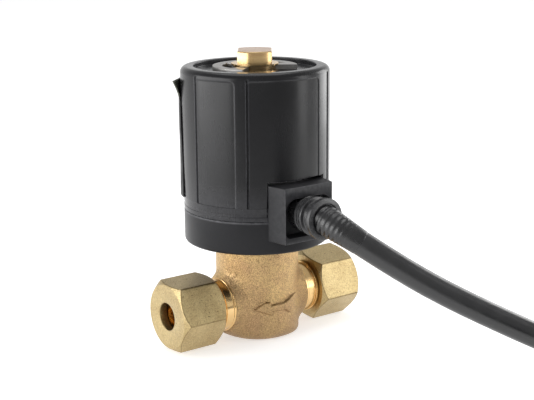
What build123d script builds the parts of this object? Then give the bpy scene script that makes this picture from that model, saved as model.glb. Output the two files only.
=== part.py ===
from build123d import *
import os
from math import cos, pi, radians, sin, sqrt, tan

# In-line gas solenoid valve. The foot of the body stands at z = 0, the stem axis is Z,
# the pipe axis lies along X, and gas flows from the inlet at +X to the outlet at -X.

# Fits shared by all pieces
RUNNING_GAP = 0.05
THREAD_GAP = 0.08
LOOSE_GAP = 0.15
FACE_GAP = 0.05
PRESS_GAP = 0.02

# Forged brass body
PIPE_AXIS_Z = 8.95
BODY_RADIUS = 10.25
FOOT_ROUND = 3.4
BODY_TOP_ROUND = 0.5
BODY_RIM_WALL = 1.5
BOSS_RADIUS = 6.9
BOSS_STAND_OUT = 1.85
SADDLE_ROUND = 2.4
COLLAR_RADIUS = 6.45
COLLAR_LENGTH = 2.4
COLLAR_GROOVE_DEPTH = 0.35
COLLAR_GROOVE_WIDTH = 0.6

# Pipe fittings, for a 1/4 in pipe
PIPE_RADIUS = 3.175
PIPE_FIT = 0.05
STUB_RADIUS = 5.5
STUB_LENGTH = 7.9
STUB_CONE_DEPTH = 2.2
STUB_CONE_RISE = 1.5
SOCKET_DEPTH = 7.8
NUT_FLATS = 15.88
NUT_LENGTH = 11.9
NUT_CHAMFER_DEPTH = 1.2
NUT_FACE_INSET = 0.19
NUT_BORE_FIT = 0.125
NUT_END_ROOM = 0.5
NUT_CONE_LENGTH = 1.7
OUTLET_NUT_TURN = -2.2
INLET_NUT_TURN = 12.84
OLIVE_SINK = 1.6
OLIVE_LIP = 0.14
OLIVE_RISE = 1.18
OLIVE_BAND = 0.7
OLIVE_BACK_CONE = 1.07
STRAINER_LENGTH = 7.5
STRAINER_WALL = 0.35
STRAINER_FLANGE = 0.5
STRAINER_SEAT_WIDTH = 0.6

# Gas way inside the body
PASSAGE_RADIUS = 2.0
OUTLET_PASSAGE_OVERRUN = 1.9
INLET_PASSAGE_END = 3.7
INLET_RISER_X = 5.1
INLET_RISER_RADIUS = 1.3
CHAMBER_FLOOR_WALL = 1.55
CHAMBER_HEIGHT = 3.5
CHAMBER_STEP = 0.9
SEAT_HEIGHT = 1.4
SEAT_BORE = 1.6
SEAT_LAND = 0.5
SEAT_ROOT = 1.1

# Armature tube, turned brass, screwed into the body
STEM_RADIUS = 5.7
TUBE_WALL = 1.25
SKIRT_LENGTH = 5.6
SHOULDER_THICKNESS = 2.6
SHOULDER_SINK = 0.15
ORING_SECTION = 1.24
ORING_SIDE_FIT = 0.01
ORING_END_FIT = 0.06
TUBE_CROWN = 8.35
CLIP_GROOVE_DEPTH = 0.7
CLIP_GROOVE_LAND = 0.45
STEM_FLATS = 8.2
STEM_FLATS_HEIGHT = 3.15
STEM_FLATS_AZIMUTH = -36.0
STEM_TOP_CHAMFER = 0.35

# Plunger, seal, spring and fixed core
STROKE = 2.0
CORE_AIR_GAP = 0.2
PLUNGER_LENGTH = 24.8
PLUNGER_CHAMFER = 0.5
PLUNGER_SLOT_WIDTH = 1.2
PLUNGER_SLOT_DEPTH = 0.6
SEAL_STAND_OUT = 0.3
SEAL_SIDE_WALL = 1.2
SEAL_THICKNESS = 1.8
SPRING_POCKET_WALL = 1.7
SPRING_POCKET_DEPTH = 9.5
SPRING_SIDE_GAP = 0.3
SPRING_WIRE = 0.5
SPRING_WIRE_SIDES = 6
SPRING_TURNS = 6

# Retaining clip, for a 10 mm groove
CLIP_RADIUS = 10.2
CLIP_BAND = 2.2
CLIP_THICKNESS = 1.2
CLIP_OPENING_AZIMUTH = -90.0
CLIP_MOUTH_HALF_ANGLE = 52.0
CLIP_LUG_HALF_ANGLE = 78.0
CLIP_BACK_LOBE_HALF_ANGLE = 22.0

# Moulded coil: upper shell and base
COIL_SEAT_GAP = 0.1
BASE_HEIGHT = 7.99
BAND_HEIGHT = 3.28
PANEL_HEIGHT = 30.28
RIM_ABOVE_PANEL = 1.15
WELL_DEPTH = 1.3
SHELL_RADIUS = 18.0
SHELL_WALL = 1.5
PANEL_STAND_OUT = 0.25
RIM_WIDTH = 3.2
RIM_ROUND = 1.1
WELL_FLOOR_THICKNESS = 2.2
STEM_HOLE_GAP = 0.25
PANEL_GROOVE_AZIMUTHS = (-176.0, -131.5, -53.5, -4.0)
PANEL_GROOVE_WIDTHS = (0.35, 0.35, 1.2, 0.35)
PANEL_GROOVE_DEPTH = 0.3
BASE_FLOOR = 2.0
BASE_EDGE_ROUND = 0.6
SPIGOT_HEIGHT = 3.0
SPIGOT_WALL = 1.2

# Cable block, moulded with the base, facing -Y
BLOCK_STAND_OUT = 3.35
BLOCK_ROOT = 2.5
BLOCK_FRONT_HALF_WIDTH = 6.9
BLOCK_BACK_HALF_WIDTH = 8.3
BLOCK_RISE = 3.35
BLOCK_HEIGHT = 13.35
NOTCH_TOP_GAP = 0.75
POCKET_SIDE_WALL = 0.8
POCKET_SILL = 1.4
POCKET_BROW = 2.75
POCKET_DEPTH = 2.9
POCKET_TOP_ROUND = 3.0
POCKET_BOTTOM_ROUND = 1.5
LEAD_HOLE_RADIUS = 2.6
HOLE_OVERRUN = 1.0

# Magnet parts inside the coil
PLATE_FIT = 0.25
PLATE_THICKNESS = 2.0
YOKE_WALL = 1.4
YOKE_SLOT_HALF_WIDTH = 3.2
YOKE_SLOT_RISE = 3.75
BOBBIN_HUB_WALL = 0.8
BOBBIN_FLANGE = 1.2
BOBBIN_SIDE_GAP = 0.2
WINDING_INSET = 0.4
LEAD_WIRE_RADIUS = 0.9
LEAD_WIRE_SPACING = 2.4

# Cable grommet and its tapered, ribbed sleeve
HUB_RADIUS = 4.05
HUB_FIT = 0.1
RING_RADIUS = 4.65
RING_THICKNESS = 0.95
NECK_LENGTH = 3.2
DISC_RADIUS = 4.9
DISC_THICKNESS = 1.55
DISC_ROUND = 0.3
SLEEVE_TIP_WALL = 0.15
SLEEVE_TAPER = 0.4
SLEEVE_SINK = 0.55
RIB_COUNT = 5
RIB_RISE = 0.28
RIB_THICKNESS = 0.7

# Lead: a round two-core cable. The route's points are chosen by hand
CABLE_DIAMETER = 5.8
CABLE_RADIUS = CABLE_DIAMETER / 2
ARC_SHARE = 0.45
SLEEVE_BEND = (1.0, -31.95, 32.4)
SLEEVE_TIP = (4.0, -34.9, 29.7)
CABLE_ROUTE = [
    SLEEVE_TIP,
    (9.0, -39.8, 25.2),
    (17.8, -46.5, 18.5),
    (29.5, -56.2, 11.1),
    (43.4, -69.0, 3.1),
    (50.6, -88.0, CABLE_RADIUS),
    (49.9, -127.5, CABLE_RADIUS),
]

# Put-away coil of the rest of the lead, and its stripped end
TIE_THICKNESS = 0.7
TIE_WIDTH = 3.0
TIE_AZIMUTH = -22.0
TIE_HEAD = 4.0
COIL_TURN_RADIUS = 32.1
COIL_SECTION_BEVEL = 2.0
TAIL_AZIMUTHS = (-42.0, -60.0, -78.0, -95.0, -111.0, -126.5)
TAIL_OFFSETS = (0.0, 0.0, -0.3, -0.6, -0.9, -0.9)
TAIL_RISE_SHARES = (0.0, 0.14, 0.36, 0.62, 0.86, 1.0)
CORE_RADIUS = 1.0
CORE_SPACING = 2.6
CORE_LENGTH = 15.0
CORE_DROOP = 0.08
FERRULE_RADIUS = 0.75
FERRULE_COLLAR_RADIUS = 1.35
FERRULE_COLLAR_LENGTH = 3.0
FERRULE_LENGTH = 8.0

# Sizes that follow from those above: the fittings
SOCKET_RADIUS = PIPE_RADIUS + PIPE_FIT
BOSS_END = BODY_RADIUS + BOSS_STAND_OUT
COLLAR_END = BOSS_END + COLLAR_LENGTH
STUB_END = COLLAR_END + STUB_LENGTH
SOCKET_STOP = STUB_END - SOCKET_DEPTH
NUT_INNER_FACE = COLLAR_END + LOOSE_GAP
NUT_OUTER_FACE = NUT_INNER_FACE + NUT_LENGTH
NUT_CORNER_RADIUS = NUT_FLATS / sqrt(3)
NUT_FACE_RADIUS = NUT_FLATS / 2 - NUT_FACE_INSET

# Heights up the body, the armature tube and the plunger
CHAMBER_FLOOR_Z = PIPE_AXIS_Z + PASSAGE_RADIUS + CHAMBER_FLOOR_WALL
SEAT_Z = CHAMBER_FLOOR_Z + SEAT_HEIGHT
SKIRT_BOTTOM_Z = CHAMBER_FLOOR_Z + CHAMBER_HEIGHT
SHOULDER_BOTTOM_Z = SKIRT_BOTTOM_Z + SKIRT_LENGTH
SHOULDER_TOP_Z = SHOULDER_BOTTOM_Z + SHOULDER_THICKNESS
BODY_TOP_Z = SHOULDER_TOP_Z + SHOULDER_SINK
ORING_SPACE = ORING_SECTION + ORING_END_FIT
PLUNGER_BOTTOM_Z = SEAT_Z + SEAL_STAND_OUT
PLUNGER_TOP_Z = PLUNGER_BOTTOM_Z + PLUNGER_LENGTH
CORE_FACE_Z = PLUNGER_TOP_Z + STROKE + CORE_AIR_GAP

# Heights up the coil, and the clip and stem top above it
COIL_BOTTOM_Z = BODY_TOP_Z + COIL_SEAT_GAP
SEAM_Z = COIL_BOTTOM_Z + BASE_HEIGHT
PANEL_BOTTOM_Z = SEAM_Z + BAND_HEIGHT
PANEL_TOP_Z = PANEL_BOTTOM_Z + PANEL_HEIGHT
RIM_Z = PANEL_TOP_Z + RIM_ABOVE_PANEL
WELL_FLOOR_Z = RIM_Z - WELL_DEPTH
STACK_BOTTOM_Z = COIL_BOTTOM_Z + BASE_FLOOR + FACE_GAP
STACK_TOP_Z = WELL_FLOOR_Z - WELL_FLOOR_THICKNESS - LOOSE_GAP
CLIP_BOTTOM_Z = WELL_FLOOR_Z + FACE_GAP
LEDGE_Z = CLIP_BOTTOM_Z + CLIP_THICKNESS + FACE_GAP + CLIP_GROOVE_LAND
STEM_TOP_Z = LEDGE_Z + STEM_FLATS_HEIGHT
TUBE_BORE_TOP_Z = STEM_TOP_Z - TUBE_CROWN

# Radii about the stem, from the outside in
SHOULDER_RADIUS = BODY_RADIUS - BODY_RIM_WALL - LOOSE_GAP
SKIRT_RADIUS = SHOULDER_RADIUS + LOOSE_GAP - ORING_SECTION - ORING_SIDE_FIT
CHAMBER_RADIUS = SKIRT_RADIUS - CHAMBER_STEP
TUBE_BORE = STEM_RADIUS - TUBE_WALL
GROOVE_RADIUS = STEM_RADIUS - CLIP_GROOVE_DEPTH
PLUNGER_RADIUS = TUBE_BORE - RUNNING_GAP
SEAL_RADIUS = PLUNGER_RADIUS - SEAL_SIDE_WALL
SPRING_POCKET_RADIUS = PLUNGER_RADIUS - SPRING_POCKET_WALL
SPRING_RADIUS = SPRING_POCKET_RADIUS - SPRING_SIDE_GAP - SPRING_WIRE / 2
BAND_RADIUS = SHELL_RADIUS - PANEL_STAND_OUT
SHELL_INNER_RADIUS = SHELL_RADIUS - SHELL_WALL
RIM_INNER_RADIUS = SHELL_RADIUS - RIM_WIDTH
SPIGOT_RADIUS = SHELL_INNER_RADIUS - FACE_GAP
BASE_INNER_RADIUS = SPIGOT_RADIUS - SPIGOT_WALL
PLATE_RADIUS = BASE_INNER_RADIUS - PLATE_FIT
BOBBIN_FLANGE_RADIUS = PLATE_RADIUS - YOKE_WALL - BOBBIN_SIDE_GAP
WINDING_RADIUS = BOBBIN_FLANGE_RADIUS - WINDING_INSET
BORE_RADIUS = STEM_RADIUS + LOOSE_GAP

# Places on the cable block and the grommet
BLOCK_FRONT_Y = -BAND_RADIUS - BLOCK_STAND_OUT
BLOCK_BACK_Y = -SHELL_INNER_RADIUS + BLOCK_ROOT
BLOCK_BOTTOM_Z = COIL_BOTTOM_Z + BLOCK_RISE
BLOCK_TOP_Z = BLOCK_BOTTOM_Z + BLOCK_HEIGHT
POCKET_BOTTOM_Z = BLOCK_BOTTOM_Z + POCKET_SILL
POCKET_TOP_Z = BLOCK_TOP_Z - POCKET_BROW
POCKET_FLOOR_Y = BLOCK_FRONT_Y + POCKET_DEPTH
LEAD_AXIS_Z = POCKET_TOP_Z - HUB_RADIUS - HUB_FIT
RING_BACK_Y = BLOCK_FRONT_Y - LOOSE_GAP
RING_FRONT_Y = RING_BACK_Y - RING_THICKNESS
DISC_BACK_Y = RING_FRONT_Y - NECK_LENGTH
DISC_FRONT_Y = DISC_BACK_Y - DISC_THICKNESS
SLEEVE_TIP_RADIUS = CABLE_RADIUS + SLEEVE_TIP_WALL
SLEEVE_ROOT_RADIUS = SLEEVE_TIP_RADIUS + SLEEVE_TAPER
SLEEVE_ROUTE = [(0.0, DISC_FRONT_Y + SLEEVE_SINK, LEAD_AXIS_Z), SLEEVE_BEND, SLEEVE_TIP]


def ring(outer, inner, bottom, top):
    """Plain ring about the stem axis."""
    height = top - bottom
    body = Cylinder(outer, height, align=(Align.CENTER, Align.CENTER, Align.MIN))
    if inner > 0:
        body -= Cylinder(inner, height, align=(Align.CENTER, Align.CENTER, Align.MIN))
    return Pos(0, 0, bottom) * body


def turned(points):
    """Solid of revolution about the stem axis from (radius, z) points."""
    return revolve(make_face(Plane.XZ * Polyline(*points, close=True)), axis=Axis.Z)


def turned_along_pipe(points, side):
    """Solid of revolution about the pipe axis from (distance, radius) points, on side +1 or -1."""
    profile = make_face(Plane.XZ * Polyline(*[(side * s, r) for s, r in points], close=True))
    return Pos(0, 0, PIPE_AXIS_Z) * revolve(profile, axis=Axis.X)


def fitting_end(side):
    """One end of the body outside its casting: turned collar and threaded stub."""
    groove_end = COLLAR_END - COLLAR_GROOVE_WIDTH
    groove_start = groove_end - COLLAR_GROOVE_WIDTH
    groove_radius = COLLAR_RADIUS - COLLAR_GROOVE_DEPTH
    return turned_along_pipe(
        [
            (0, 0),
            (0, COLLAR_RADIUS),
            (groove_start, COLLAR_RADIUS),
            (groove_start, groove_radius),
            (groove_end, groove_radius),
            (groove_end, COLLAR_RADIUS),
            (COLLAR_END, COLLAR_RADIUS),
            (COLLAR_END, STUB_RADIUS),
            (STUB_END, STUB_RADIUS),
            (STUB_END, 0),
        ],
        side,
    )


def fitting_bore(side, passage_end):
    """Pipe socket with its cone mouth, and the gas passage behind it."""
    return turned_along_pipe(
        [
            (passage_end, 0),
            (passage_end, PASSAGE_RADIUS),
            (SOCKET_STOP, PASSAGE_RADIUS),
            (SOCKET_STOP, SOCKET_RADIUS),
            (STUB_END - STUB_CONE_DEPTH, SOCKET_RADIUS),
            (STUB_END, SOCKET_RADIUS + STUB_CONE_RISE),
            (STUB_END, 0),
        ],
        side,
    )


def strainer_seat():
    """Shallow counterbore behind the inlet socket's stop, for the strainer's flange."""
    back = SOCKET_STOP - STRAINER_FLANGE - 2 * FACE_GAP
    radius = PASSAGE_RADIUS + STRAINER_SEAT_WIDTH
    return turned_along_pipe([(back, 0), (back, radius), (SOCKET_STOP, radius), (SOCKET_STOP, 0)], 1)


def make_valve_body():
    """Forged brass body: round pillar on a flat foot, with a boss and stub at each port."""
    pillar = ring(BODY_RADIUS, 0, 0, BODY_TOP_Z)
    rims = pillar.edges().filter_by(GeomType.CIRCLE).sort_by(Axis.Z)
    pillar = fillet(rims[0], FOOT_ROUND)
    pillar = fillet(pillar.edges().filter_by(GeomType.CIRCLE).sort_by(Axis.Z)[-1], BODY_TOP_ROUND)
    bosses = Pos(0, 0, PIPE_AXIS_Z) * Rot(0, 90, 0) * Cylinder(BOSS_RADIUS, 2 * BOSS_END)
    casting = pillar + bosses
    saddle = [e for e in casting.edges() if e.geom_type not in (GeomType.CIRCLE, GeomType.LINE)]
    casting = fillet(saddle, SADDLE_ROUND)
    body = casting + fitting_end(1) + fitting_end(-1)

    oring_floor = SHOULDER_BOTTOM_Z - ORING_SPACE
    body -= ring(SHOULDER_RADIUS + LOOSE_GAP, 0, oring_floor, BODY_TOP_Z)
    body -= ring(SKIRT_RADIUS + THREAD_GAP, 0, SKIRT_BOTTOM_Z - LOOSE_GAP, oring_floor)
    body -= ring(CHAMBER_RADIUS, 0, CHAMBER_FLOOR_Z, SKIRT_BOTTOM_Z)
    body += turned(
        [
            (SEAT_BORE, CHAMBER_FLOOR_Z),
            (SEAT_BORE + SEAT_LAND + SEAT_ROOT, CHAMBER_FLOOR_Z),
            (SEAT_BORE + SEAT_LAND, SEAT_Z),
            (SEAT_BORE, SEAT_Z),
        ]
    )
    body -= fitting_bore(-1, -OUTLET_PASSAGE_OVERRUN)
    body -= fitting_bore(1, INLET_PASSAGE_END)
    body -= strainer_seat()
    body -= ring(SEAT_BORE, 0, PIPE_AXIS_Z, SEAT_Z)
    body -= Pos(INLET_RISER_X, 0, 0) * ring(INLET_RISER_RADIUS, 0, PIPE_AXIS_Z, SEAT_Z)
    return body


def make_nut(side, turn):
    """Hexagon nut with a 30 degree chamfer at both ends, a threaded cavity and a cone."""
    blank = extrude(Plane.YZ * RegularPolygon(NUT_CORNER_RADIUS, 6, rotation=turn), NUT_LENGTH)
    blank = Pos(NUT_INNER_FACE if side > 0 else -NUT_OUTER_FACE, 0, PIPE_AXIS_Z) * blank
    inner, outer = NUT_INNER_FACE, NUT_OUTER_FACE
    corner = NUT_CORNER_RADIUS + FACE_GAP
    envelope = turned_along_pipe(
        [
            (inner, 0),
            (inner, NUT_FACE_RADIUS),
            (inner + NUT_CHAMFER_DEPTH, corner),
            (outer - NUT_CHAMFER_DEPTH, corner),
            (outer, NUT_FACE_RADIUS),
            (outer, 0),
        ],
        side,
    )
    bore = PIPE_RADIUS + NUT_BORE_FIT
    thread = STUB_RADIUS + THREAD_GAP
    cavity_end = STUB_END + NUT_END_ROOM
    cavity = turned_along_pipe(
        [
            (inner, 0),
            (inner, thread),
            (cavity_end, thread),
            (cavity_end + NUT_CONE_LENGTH, bore),
            (outer, bore),
            (outer, 0),
        ],
        side,
    )
    return (blank & envelope) - cavity


def make_olive(side):
    """Brass olive: a plain ring with a cone at each end, the inner one resting in the stub's."""
    start = STUB_END - OLIVE_SINK
    lip = SOCKET_RADIUS + OLIVE_LIP
    crest = lip + OLIVE_RISE
    band_start = start + OLIVE_RISE * STUB_CONE_DEPTH / STUB_CONE_RISE
    end = band_start + OLIVE_BAND + OLIVE_BACK_CONE
    return turned_along_pipe(
        [
            (start, SOCKET_RADIUS),
            (start, lip),
            (band_start, crest),
            (band_start + OLIVE_BAND, crest),
            (end, lip),
            (end, SOCKET_RADIUS),
        ],
        side,
    )


def make_inlet_strainer():
    """Thimble of steel gauze in the inlet passage, with its flange in the counterbore."""
    flange_front = SOCKET_STOP - FACE_GAP
    flange_back = flange_front - STRAINER_FLANGE
    flange_radius = PASSAGE_RADIUS + STRAINER_SEAT_WIDTH - PRESS_GAP
    tip = SOCKET_STOP - STRAINER_LENGTH
    outer = PASSAGE_RADIUS - LOOSE_GAP
    inner = outer - STRAINER_WALL
    return turned_along_pipe(
        [
            (tip, 0),
            (tip, outer),
            (flange_back, outer),
            (flange_back, flange_radius),
            (flange_front, flange_radius),
            (flange_front, inner),
            (tip + STRAINER_WALL, inner),
            (tip + STRAINER_WALL, 0),
        ],
        1,
    )


def make_armature_tube():
    """Turned brass tube: threaded skirt, shoulder, stem with clip groove, collar and two flats."""
    groove_bottom = CLIP_BOTTOM_Z - FACE_GAP
    groove_top = CLIP_BOTTOM_Z + CLIP_THICKNESS + FACE_GAP
    tube = turned(
        [
            (TUBE_BORE, SKIRT_BOTTOM_Z),
            (SKIRT_RADIUS, SKIRT_BOTTOM_Z),
            (SKIRT_RADIUS, SHOULDER_BOTTOM_Z),
            (SHOULDER_RADIUS, SHOULDER_BOTTOM_Z),
            (SHOULDER_RADIUS, SHOULDER_TOP_Z),
            (STEM_RADIUS, SHOULDER_TOP_Z),
            (STEM_RADIUS, groove_bottom),
            (GROOVE_RADIUS, groove_bottom),
            (GROOVE_RADIUS, groove_top),
            (STEM_RADIUS, groove_top),
            (STEM_RADIUS, STEM_TOP_Z - STEM_TOP_CHAMFER),
            (STEM_RADIUS - STEM_TOP_CHAMFER, STEM_TOP_Z),
            (0, STEM_TOP_Z),
            (0, TUBE_BORE_TOP_Z),
            (TUBE_BORE, TUBE_BORE_TOP_Z),
        ]
    )
    square = 2 * SHOULDER_RADIUS
    waste = Box(square, square, STEM_FLATS_HEIGHT) - Box(STEM_FLATS, square, STEM_FLATS_HEIGHT)
    waste = Pos(0, 0, LEDGE_Z + STEM_FLATS_HEIGHT / 2) * Rot(0, 0, STEM_FLATS_AZIMUTH) * waste
    return tube - waste


def make_tube_oring():
    """Rubber ring under the shoulder of the armature tube, squeezed flat against its four walls."""
    middle = (SKIRT_RADIUS + SHOULDER_RADIUS + LOOSE_GAP) / 2
    section = RegularPolygon(ORING_SECTION / 2, 8, major_radius=False, rotation=22.5)
    return revolve(Plane.XZ * Pos(middle, SHOULDER_BOTTOM_Z - ORING_SPACE / 2) * section, axis=Axis.Z)


def make_fixed_core():
    """Soft-iron core pressed into the top of the tube's bore."""
    return ring(TUBE_BORE - PRESS_GAP, 0, CORE_FACE_Z, TUBE_BORE_TOP_Z - FACE_GAP)


def make_plunger():
    """Soft-iron plunger with a seal pocket below, a spring pocket above and two gas slots."""
    plunger = ring(PLUNGER_RADIUS, 0, PLUNGER_BOTTOM_Z, PLUNGER_TOP_Z)
    ends = plunger.edges().filter_by(GeomType.CIRCLE)
    plunger = chamfer(ends, PLUNGER_CHAMFER)
    seal_top = SEAT_Z + SEAL_THICKNESS
    plunger -= ring(SEAL_RADIUS + PRESS_GAP, 0, PLUNGER_BOTTOM_Z, seal_top)
    plunger -= ring(SPRING_POCKET_RADIUS, 0, PLUNGER_TOP_Z - SPRING_POCKET_DEPTH, PLUNGER_TOP_Z)
    height = PLUNGER_TOP_Z - PLUNGER_BOTTOM_Z
    for way in (-1, 1):
        slot = Box(2 * PLUNGER_SLOT_DEPTH, PLUNGER_SLOT_WIDTH, height)
        plunger -= Pos(way * PLUNGER_RADIUS, 0, PLUNGER_BOTTOM_Z + height / 2) * slot
    return plunger


def make_seat_seal():
    """Rubber disc in the plunger's foot that closes the seat."""
    return ring(SEAL_RADIUS, 0, SEAT_Z, SEAT_Z + SEAL_THICKNESS - PRESS_GAP)


def make_plunger_spring():
    """Return spring between the plunger's pocket and the fixed core."""
    bottom = PLUNGER_TOP_Z - SPRING_POCKET_DEPTH + SPRING_WIRE / 2 + FACE_GAP
    height = CORE_FACE_Z - SPRING_WIRE / 2 - FACE_GAP - bottom
    path = Helix(pitch=height / SPRING_TURNS, height=height, radius=SPRING_RADIUS)
    wire = RegularPolygon(SPRING_WIRE / 2, SPRING_WIRE_SIDES)
    section = Plane(origin=path @ 0, z_dir=path % 0) * wire
    return Pos(0, 0, bottom) * sweep(section, path=path, is_frenet=True)


def polar(radius, angle):
    """Point at a radius and an angle in degrees."""
    return (radius * cos(radians(angle)), radius * sin(radians(angle)))


def wedge(radius, middle, half_angle):
    """Triangle from the centre that covers a circle's pie slice of under 180 degrees."""
    reach = radius / cos(radians(half_angle))
    sides = [polar(reach, middle + way * half_angle) for way in (-1, 1)]
    return make_face(Polyline((0, 0), *sides, close=True))


def make_retaining_clip():
    """Stamped steel E-clip: a ring open at the front, with three lobes that grip the groove."""
    outline = Circle(CLIP_RADIUS) - Circle(CLIP_RADIUS - CLIP_BAND)
    lobes = Circle(CLIP_RADIUS - CLIP_BAND / 2) - Circle(GROOVE_RADIUS + PRESS_GAP)
    lug_middle = (CLIP_MOUTH_HALF_ANGLE + CLIP_LUG_HALF_ANGLE) / 2
    lug_half = (CLIP_LUG_HALF_ANGLE - CLIP_MOUTH_HALF_ANGLE) / 2
    for middle, half in (
        (lug_middle, lug_half),
        (-lug_middle, lug_half),
        (180, CLIP_BACK_LOBE_HALF_ANGLE),
    ):
        outline += lobes & wedge(CLIP_RADIUS, middle, half)
    outline -= wedge(CLIP_RADIUS, 0, CLIP_MOUTH_HALF_ANGLE)
    clip = extrude(Rot(0, 0, CLIP_OPENING_AZIMUTH) * outline, CLIP_THICKNESS)
    return Pos(0, 0, CLIP_BOTTOM_Z) * clip


def block_plan(grow):
    """Plan of the cable block, tapering to its front, grown by a clearance."""
    return make_face(
        Polyline(
            (-BLOCK_BACK_HALF_WIDTH - grow, BLOCK_BACK_Y),
            (-BLOCK_FRONT_HALF_WIDTH - grow, BLOCK_FRONT_Y - grow),
            (BLOCK_FRONT_HALF_WIDTH + grow, BLOCK_FRONT_Y - grow),
            (BLOCK_BACK_HALF_WIDTH + grow, BLOCK_BACK_Y),
            close=True,
        )
    )


def make_coil_housing():
    """Moulded upper shell: panels with grooves between, a rim, a shallow well and a block notch."""
    hole = STEM_RADIUS + STEM_HOLE_GAP
    ceiling = WELL_FLOOR_Z - WELL_FLOOR_THICKNESS
    shell = turned(
        [
            (SHELL_INNER_RADIUS, SEAM_Z + FACE_GAP),
            (BAND_RADIUS, SEAM_Z + FACE_GAP),
            (BAND_RADIUS, PANEL_BOTTOM_Z),
            (SHELL_RADIUS, PANEL_BOTTOM_Z),
            (SHELL_RADIUS, RIM_Z),
            (RIM_INNER_RADIUS, RIM_Z),
            (RIM_INNER_RADIUS, WELL_FLOOR_Z),
            (hole, WELL_FLOOR_Z),
            (hole, ceiling),
            (SHELL_INNER_RADIUS, ceiling),
        ]
    )
    crest = shell.edges().filter_by_position(Axis.Z, RIM_Z, RIM_Z).sort_by(SortBy.LENGTH)[-1]
    shell = fillet(crest, RIM_ROUND)
    for azimuth, width in zip(PANEL_GROOVE_AZIMUTHS, PANEL_GROOVE_WIDTHS):
        groove = Box(2 * PANEL_GROOVE_DEPTH, width, PANEL_HEIGHT)
        groove = Pos(SHELL_RADIUS, 0, PANEL_BOTTOM_Z + PANEL_HEIGHT / 2) * groove
        shell -= Rot(0, 0, azimuth) * groove
    notch_height = BLOCK_TOP_Z + NOTCH_TOP_GAP - SEAM_Z
    shell -= Pos(0, 0, SEAM_Z) * extrude(block_plan(LOOSE_GAP), notch_height)
    return shell


def make_coil_base():
    """Moulded base cup with a spigot into the shell and the cable block on its front."""
    inner = BASE_INNER_RADIUS
    floor_top = COIL_BOTTOM_Z + BASE_FLOOR
    cup = ring(BAND_RADIUS, 0, COIL_BOTTOM_Z, SEAM_Z)
    rim = cup.edges().filter_by_position(Axis.Z, COIL_BOTTOM_Z, COIL_BOTTOM_Z)
    cup = fillet(rim, BASE_EDGE_ROUND)
    cup += ring(SPIGOT_RADIUS, 0, SEAM_Z, SEAM_Z + SPIGOT_HEIGHT)
    cup += Pos(0, 0, BLOCK_BOTTOM_Z) * extrude(block_plan(0), BLOCK_HEIGHT)
    cup -= ring(inner, 0, floor_top, BLOCK_TOP_Z)
    cup -= ring(STEM_RADIUS + STEM_HOLE_GAP, 0, COIL_BOTTOM_Z, floor_top)

    width = 2 * (BLOCK_FRONT_HALF_WIDTH - POCKET_SIDE_WALL)
    height = POCKET_TOP_Z - POCKET_BOTTOM_Z
    mouth = Pos(0, POCKET_BOTTOM_Z + height / 2) * Rectangle(width, height)
    corners = mouth.vertices().sort_by(Axis.Y)
    mouth = fillet(corners[2:], POCKET_TOP_ROUND)
    mouth = fillet(mouth.vertices().sort_by(Axis.Y)[:2], POCKET_BOTTOM_ROUND)
    pocket = extrude(Plane.XZ * mouth, POCKET_DEPTH)
    cup -= Pos(0, POCKET_FLOOR_Y, 0) * pocket
    hole = Cylinder(LEAD_HOLE_RADIUS, -POCKET_FLOOR_Y - inner + 2 * HOLE_OVERRUN)
    return cup - Pos(0, (POCKET_FLOOR_Y - inner) / 2, LEAD_AXIS_Z) * Rot(90, 0, 0) * hole


def make_pole_plate(bottom):
    """Steel plate that closes the magnetic path at one end of the bobbin."""
    return ring(PLATE_RADIUS, BORE_RADIUS, bottom, bottom + PLATE_THICKNESS)


def make_yoke_sleeve():
    """Rolled steel sleeve between the pole plates, slotted for the lead wires."""
    bottom = STACK_BOTTOM_Z + PLATE_THICKNESS
    top = STACK_TOP_Z - PLATE_THICKNESS
    sleeve = ring(PLATE_RADIUS, PLATE_RADIUS - YOKE_WALL, bottom, top)
    slot_top = LEAD_AXIS_Z + YOKE_SLOT_RISE
    slot = Box(2 * YOKE_SLOT_HALF_WIDTH, PLATE_RADIUS, slot_top - bottom)
    return sleeve - Pos(0, -PLATE_RADIUS, (slot_top + bottom) / 2) * slot


def make_coil_bobbin():
    """Moulded bobbin: a thin hub with a flange at each end."""
    bottom = STACK_BOTTOM_Z + PLATE_THICKNESS + FACE_GAP
    top = STACK_TOP_Z - PLATE_THICKNESS - FACE_GAP
    hub = BORE_RADIUS + BOBBIN_HUB_WALL
    return turned(
        [
            (BORE_RADIUS, bottom),
            (BOBBIN_FLANGE_RADIUS, bottom),
            (BOBBIN_FLANGE_RADIUS, bottom + BOBBIN_FLANGE),
            (hub, bottom + BOBBIN_FLANGE),
            (hub, top - BOBBIN_FLANGE),
            (BOBBIN_FLANGE_RADIUS, top - BOBBIN_FLANGE),
            (BOBBIN_FLANGE_RADIUS, top),
            (BORE_RADIUS, top),
        ]
    )


def make_coil_winding():
    """Enamelled copper winding, as one solid layer pack."""
    bottom = STACK_BOTTOM_Z + PLATE_THICKNESS + BOBBIN_FLANGE + 2 * FACE_GAP
    top = STACK_TOP_Z - PLATE_THICKNESS - BOBBIN_FLANGE - 2 * FACE_GAP
    hub = BORE_RADIUS + BOBBIN_HUB_WALL + PRESS_GAP
    return ring(WINDING_RADIUS, hub, bottom, top)


def make_lead_wires():
    """Two insulated wires from the winding to the back of the grommet."""
    start, end = -WINDING_RADIUS - FACE_GAP, POCKET_FLOOR_Y + FACE_GAP
    length = start - end
    wire = Rot(90, 0, 0) * Cylinder(LEAD_WIRE_RADIUS, length)
    middle = (start + end) / 2
    return Compound(
        children=[Pos(way * LEAD_WIRE_SPACING / 2, middle, LEAD_AXIS_Z) * wire for way in (-1, 1)]
    )


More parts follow.
